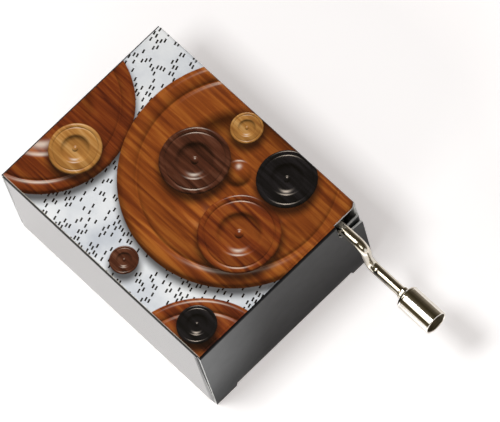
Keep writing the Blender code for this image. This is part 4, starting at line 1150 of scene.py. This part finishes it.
# Lines run along the rod's two shafts, and round the cup and the screws
DRAWN_NICKEL = bright_nickel(
    "nickel_plate_bright_drawn", ("c6bdab", "d2ccc0", "dcd8cf"), (0.25, 6.0, 6.0), 0.7,
    (0.09, 0.19), 0.006 * MM)
SPUN_NICKEL = bright_nickel(
    "nickel_plate_bright_spun", ("cfc9be", "d9d5cd", "e2dfd9"), (0.15, 0.15, 5.0), 0.6,
    (0.07, 0.14), 0.004 * MM)
# Plate that the die never touched: a warm, dull grey
DULL_NICKEL = machined(
    "nickel_plate_dull_inside", ("8d8470", "a89f8c", "bdb5a3"), 0.5, (0.3, 0.3, 3.0), 0.01 * MM)
# Ground steel: neutral grey, with lines along X. On the comb they run along Y, across its teeth
GROUND_STEEL = machined(
    "steel_ground", ("8f9092", "a6a7a8", "b8b9b9"), 0.28, (0.2, 6.0, 6.0), 0.006 * MM)
COMB_STEEL = machined(
    "spring_steel_ground", ("7e8084", "989a9d", "adafb0"), 0.25, (6.0, 0.2, 0.2), 0.006 * MM)
# Blued steel: dark blue oxide, mottled by the heat and with no lines
BLUED_STEEL = machined(
    "spring_steel_blued", ("20283a", "2c3650", "3a4666"), 0.3, (1.0, 1.0, 1.0), 0.004 * MM)
# Turned brass: yellow and satin, with fine lines that lie level
TURNED_BRASS = machined(
    "brass_turned", ("b58a3c", "c79d4c", "d6b066"), 0.24, (0.2, 0.2, 7.0), 0.005 * MM)
CAST_ZINC = cast_zinc()
ACETAL = moulded_acetal()
FIBREBOARD = fibreboard()

camera()
carton_shell()
for END_NAME, END_SIDE in (("front", 1), ("rear", -1)):
    closure(END_NAME, END_SIDE)
    tuck_flap(END_NAME, END_SIDE)
    for SIDE_NAME, SIDE_SIGN in (("left", -1), ("right", 1)):
        dust_flap(END_NAME, END_SIDE, SIDE_NAME, SIDE_SIGN)
crank_rod()
knob()

# Nodes that keep their shape: material, slot, width of the eased edges and the angle they start at
EASED_NODES = [
    ("knob_clip", SPUN_NICKEL, "nickel", 0.05 * MM, 30.0),
    ("rod_clip", BLUED_STEEL, "spring_steel", 0.04 * MM, 30.0),
    ("worm", TURNED_BRASS, "brass", 0.04 * MM, 30.0),
    ("bedplate", CAST_ZINC, "zinc", 0.12 * MM, 30.0),
    ("crank_bracket", GROUND_STEEL, "steel", 0.1 * MM, 30.0),
    ("comb", COMB_STEEL, "spring_steel", 0.03 * MM, 30.0),
    ("mounting_board", FIBREBOARD, "fibreboard", 0.1 * MM, 30.0),
    ("pinned_cylinder", TURNED_BRASS, "brass", 0.02 * MM, 45.0),
    ("cylinder_cap", ACETAL, "acetal", 0.1 * MM, 30.0),
    ("worm_wheel", ACETAL, "acetal", 0.04 * MM, 30.0),
    ("arbor", GROUND_STEEL, "steel", 0.1 * MM, 30.0),
    ("left_bush", TURNED_BRASS, "brass", 0.05 * MM, 30.0),
    ("right_bush", TURNED_BRASS, "brass", 0.05 * MM, 30.0)]
for HOLDS, COUNT in (("comb", 2), ("bracket", 2), ("board", 3)):
    for INDEX in range(1, COUNT + 1):
        EASED_NODES.append((f"{HOLDS}_screw_{INDEX}", SPUN_NICKEL, "nickel", 0.05 * MM, 30.0))
for NODE, MATERIAL, SLOT, WIDTH, ANGLE in EASED_NODES:
    eased(NODE, MATERIAL, WIDTH, ANGLE)

floor()
tent()
card()
lamp("key_lamp", azimuth=-2.0, elevation=74.0, distance=0.224, size=0.055, power=0.255)
# The fill lamp only softens the shadow, and no gloss shows it
fill = lamp("fill_lamp", azimuth=18.0, elevation=18.0, distance=0.4, size=0.15, power=0.34)
fill.visible_glossy = False
world()
bpy.context.scene.view_settings.view_transform = "Standard"
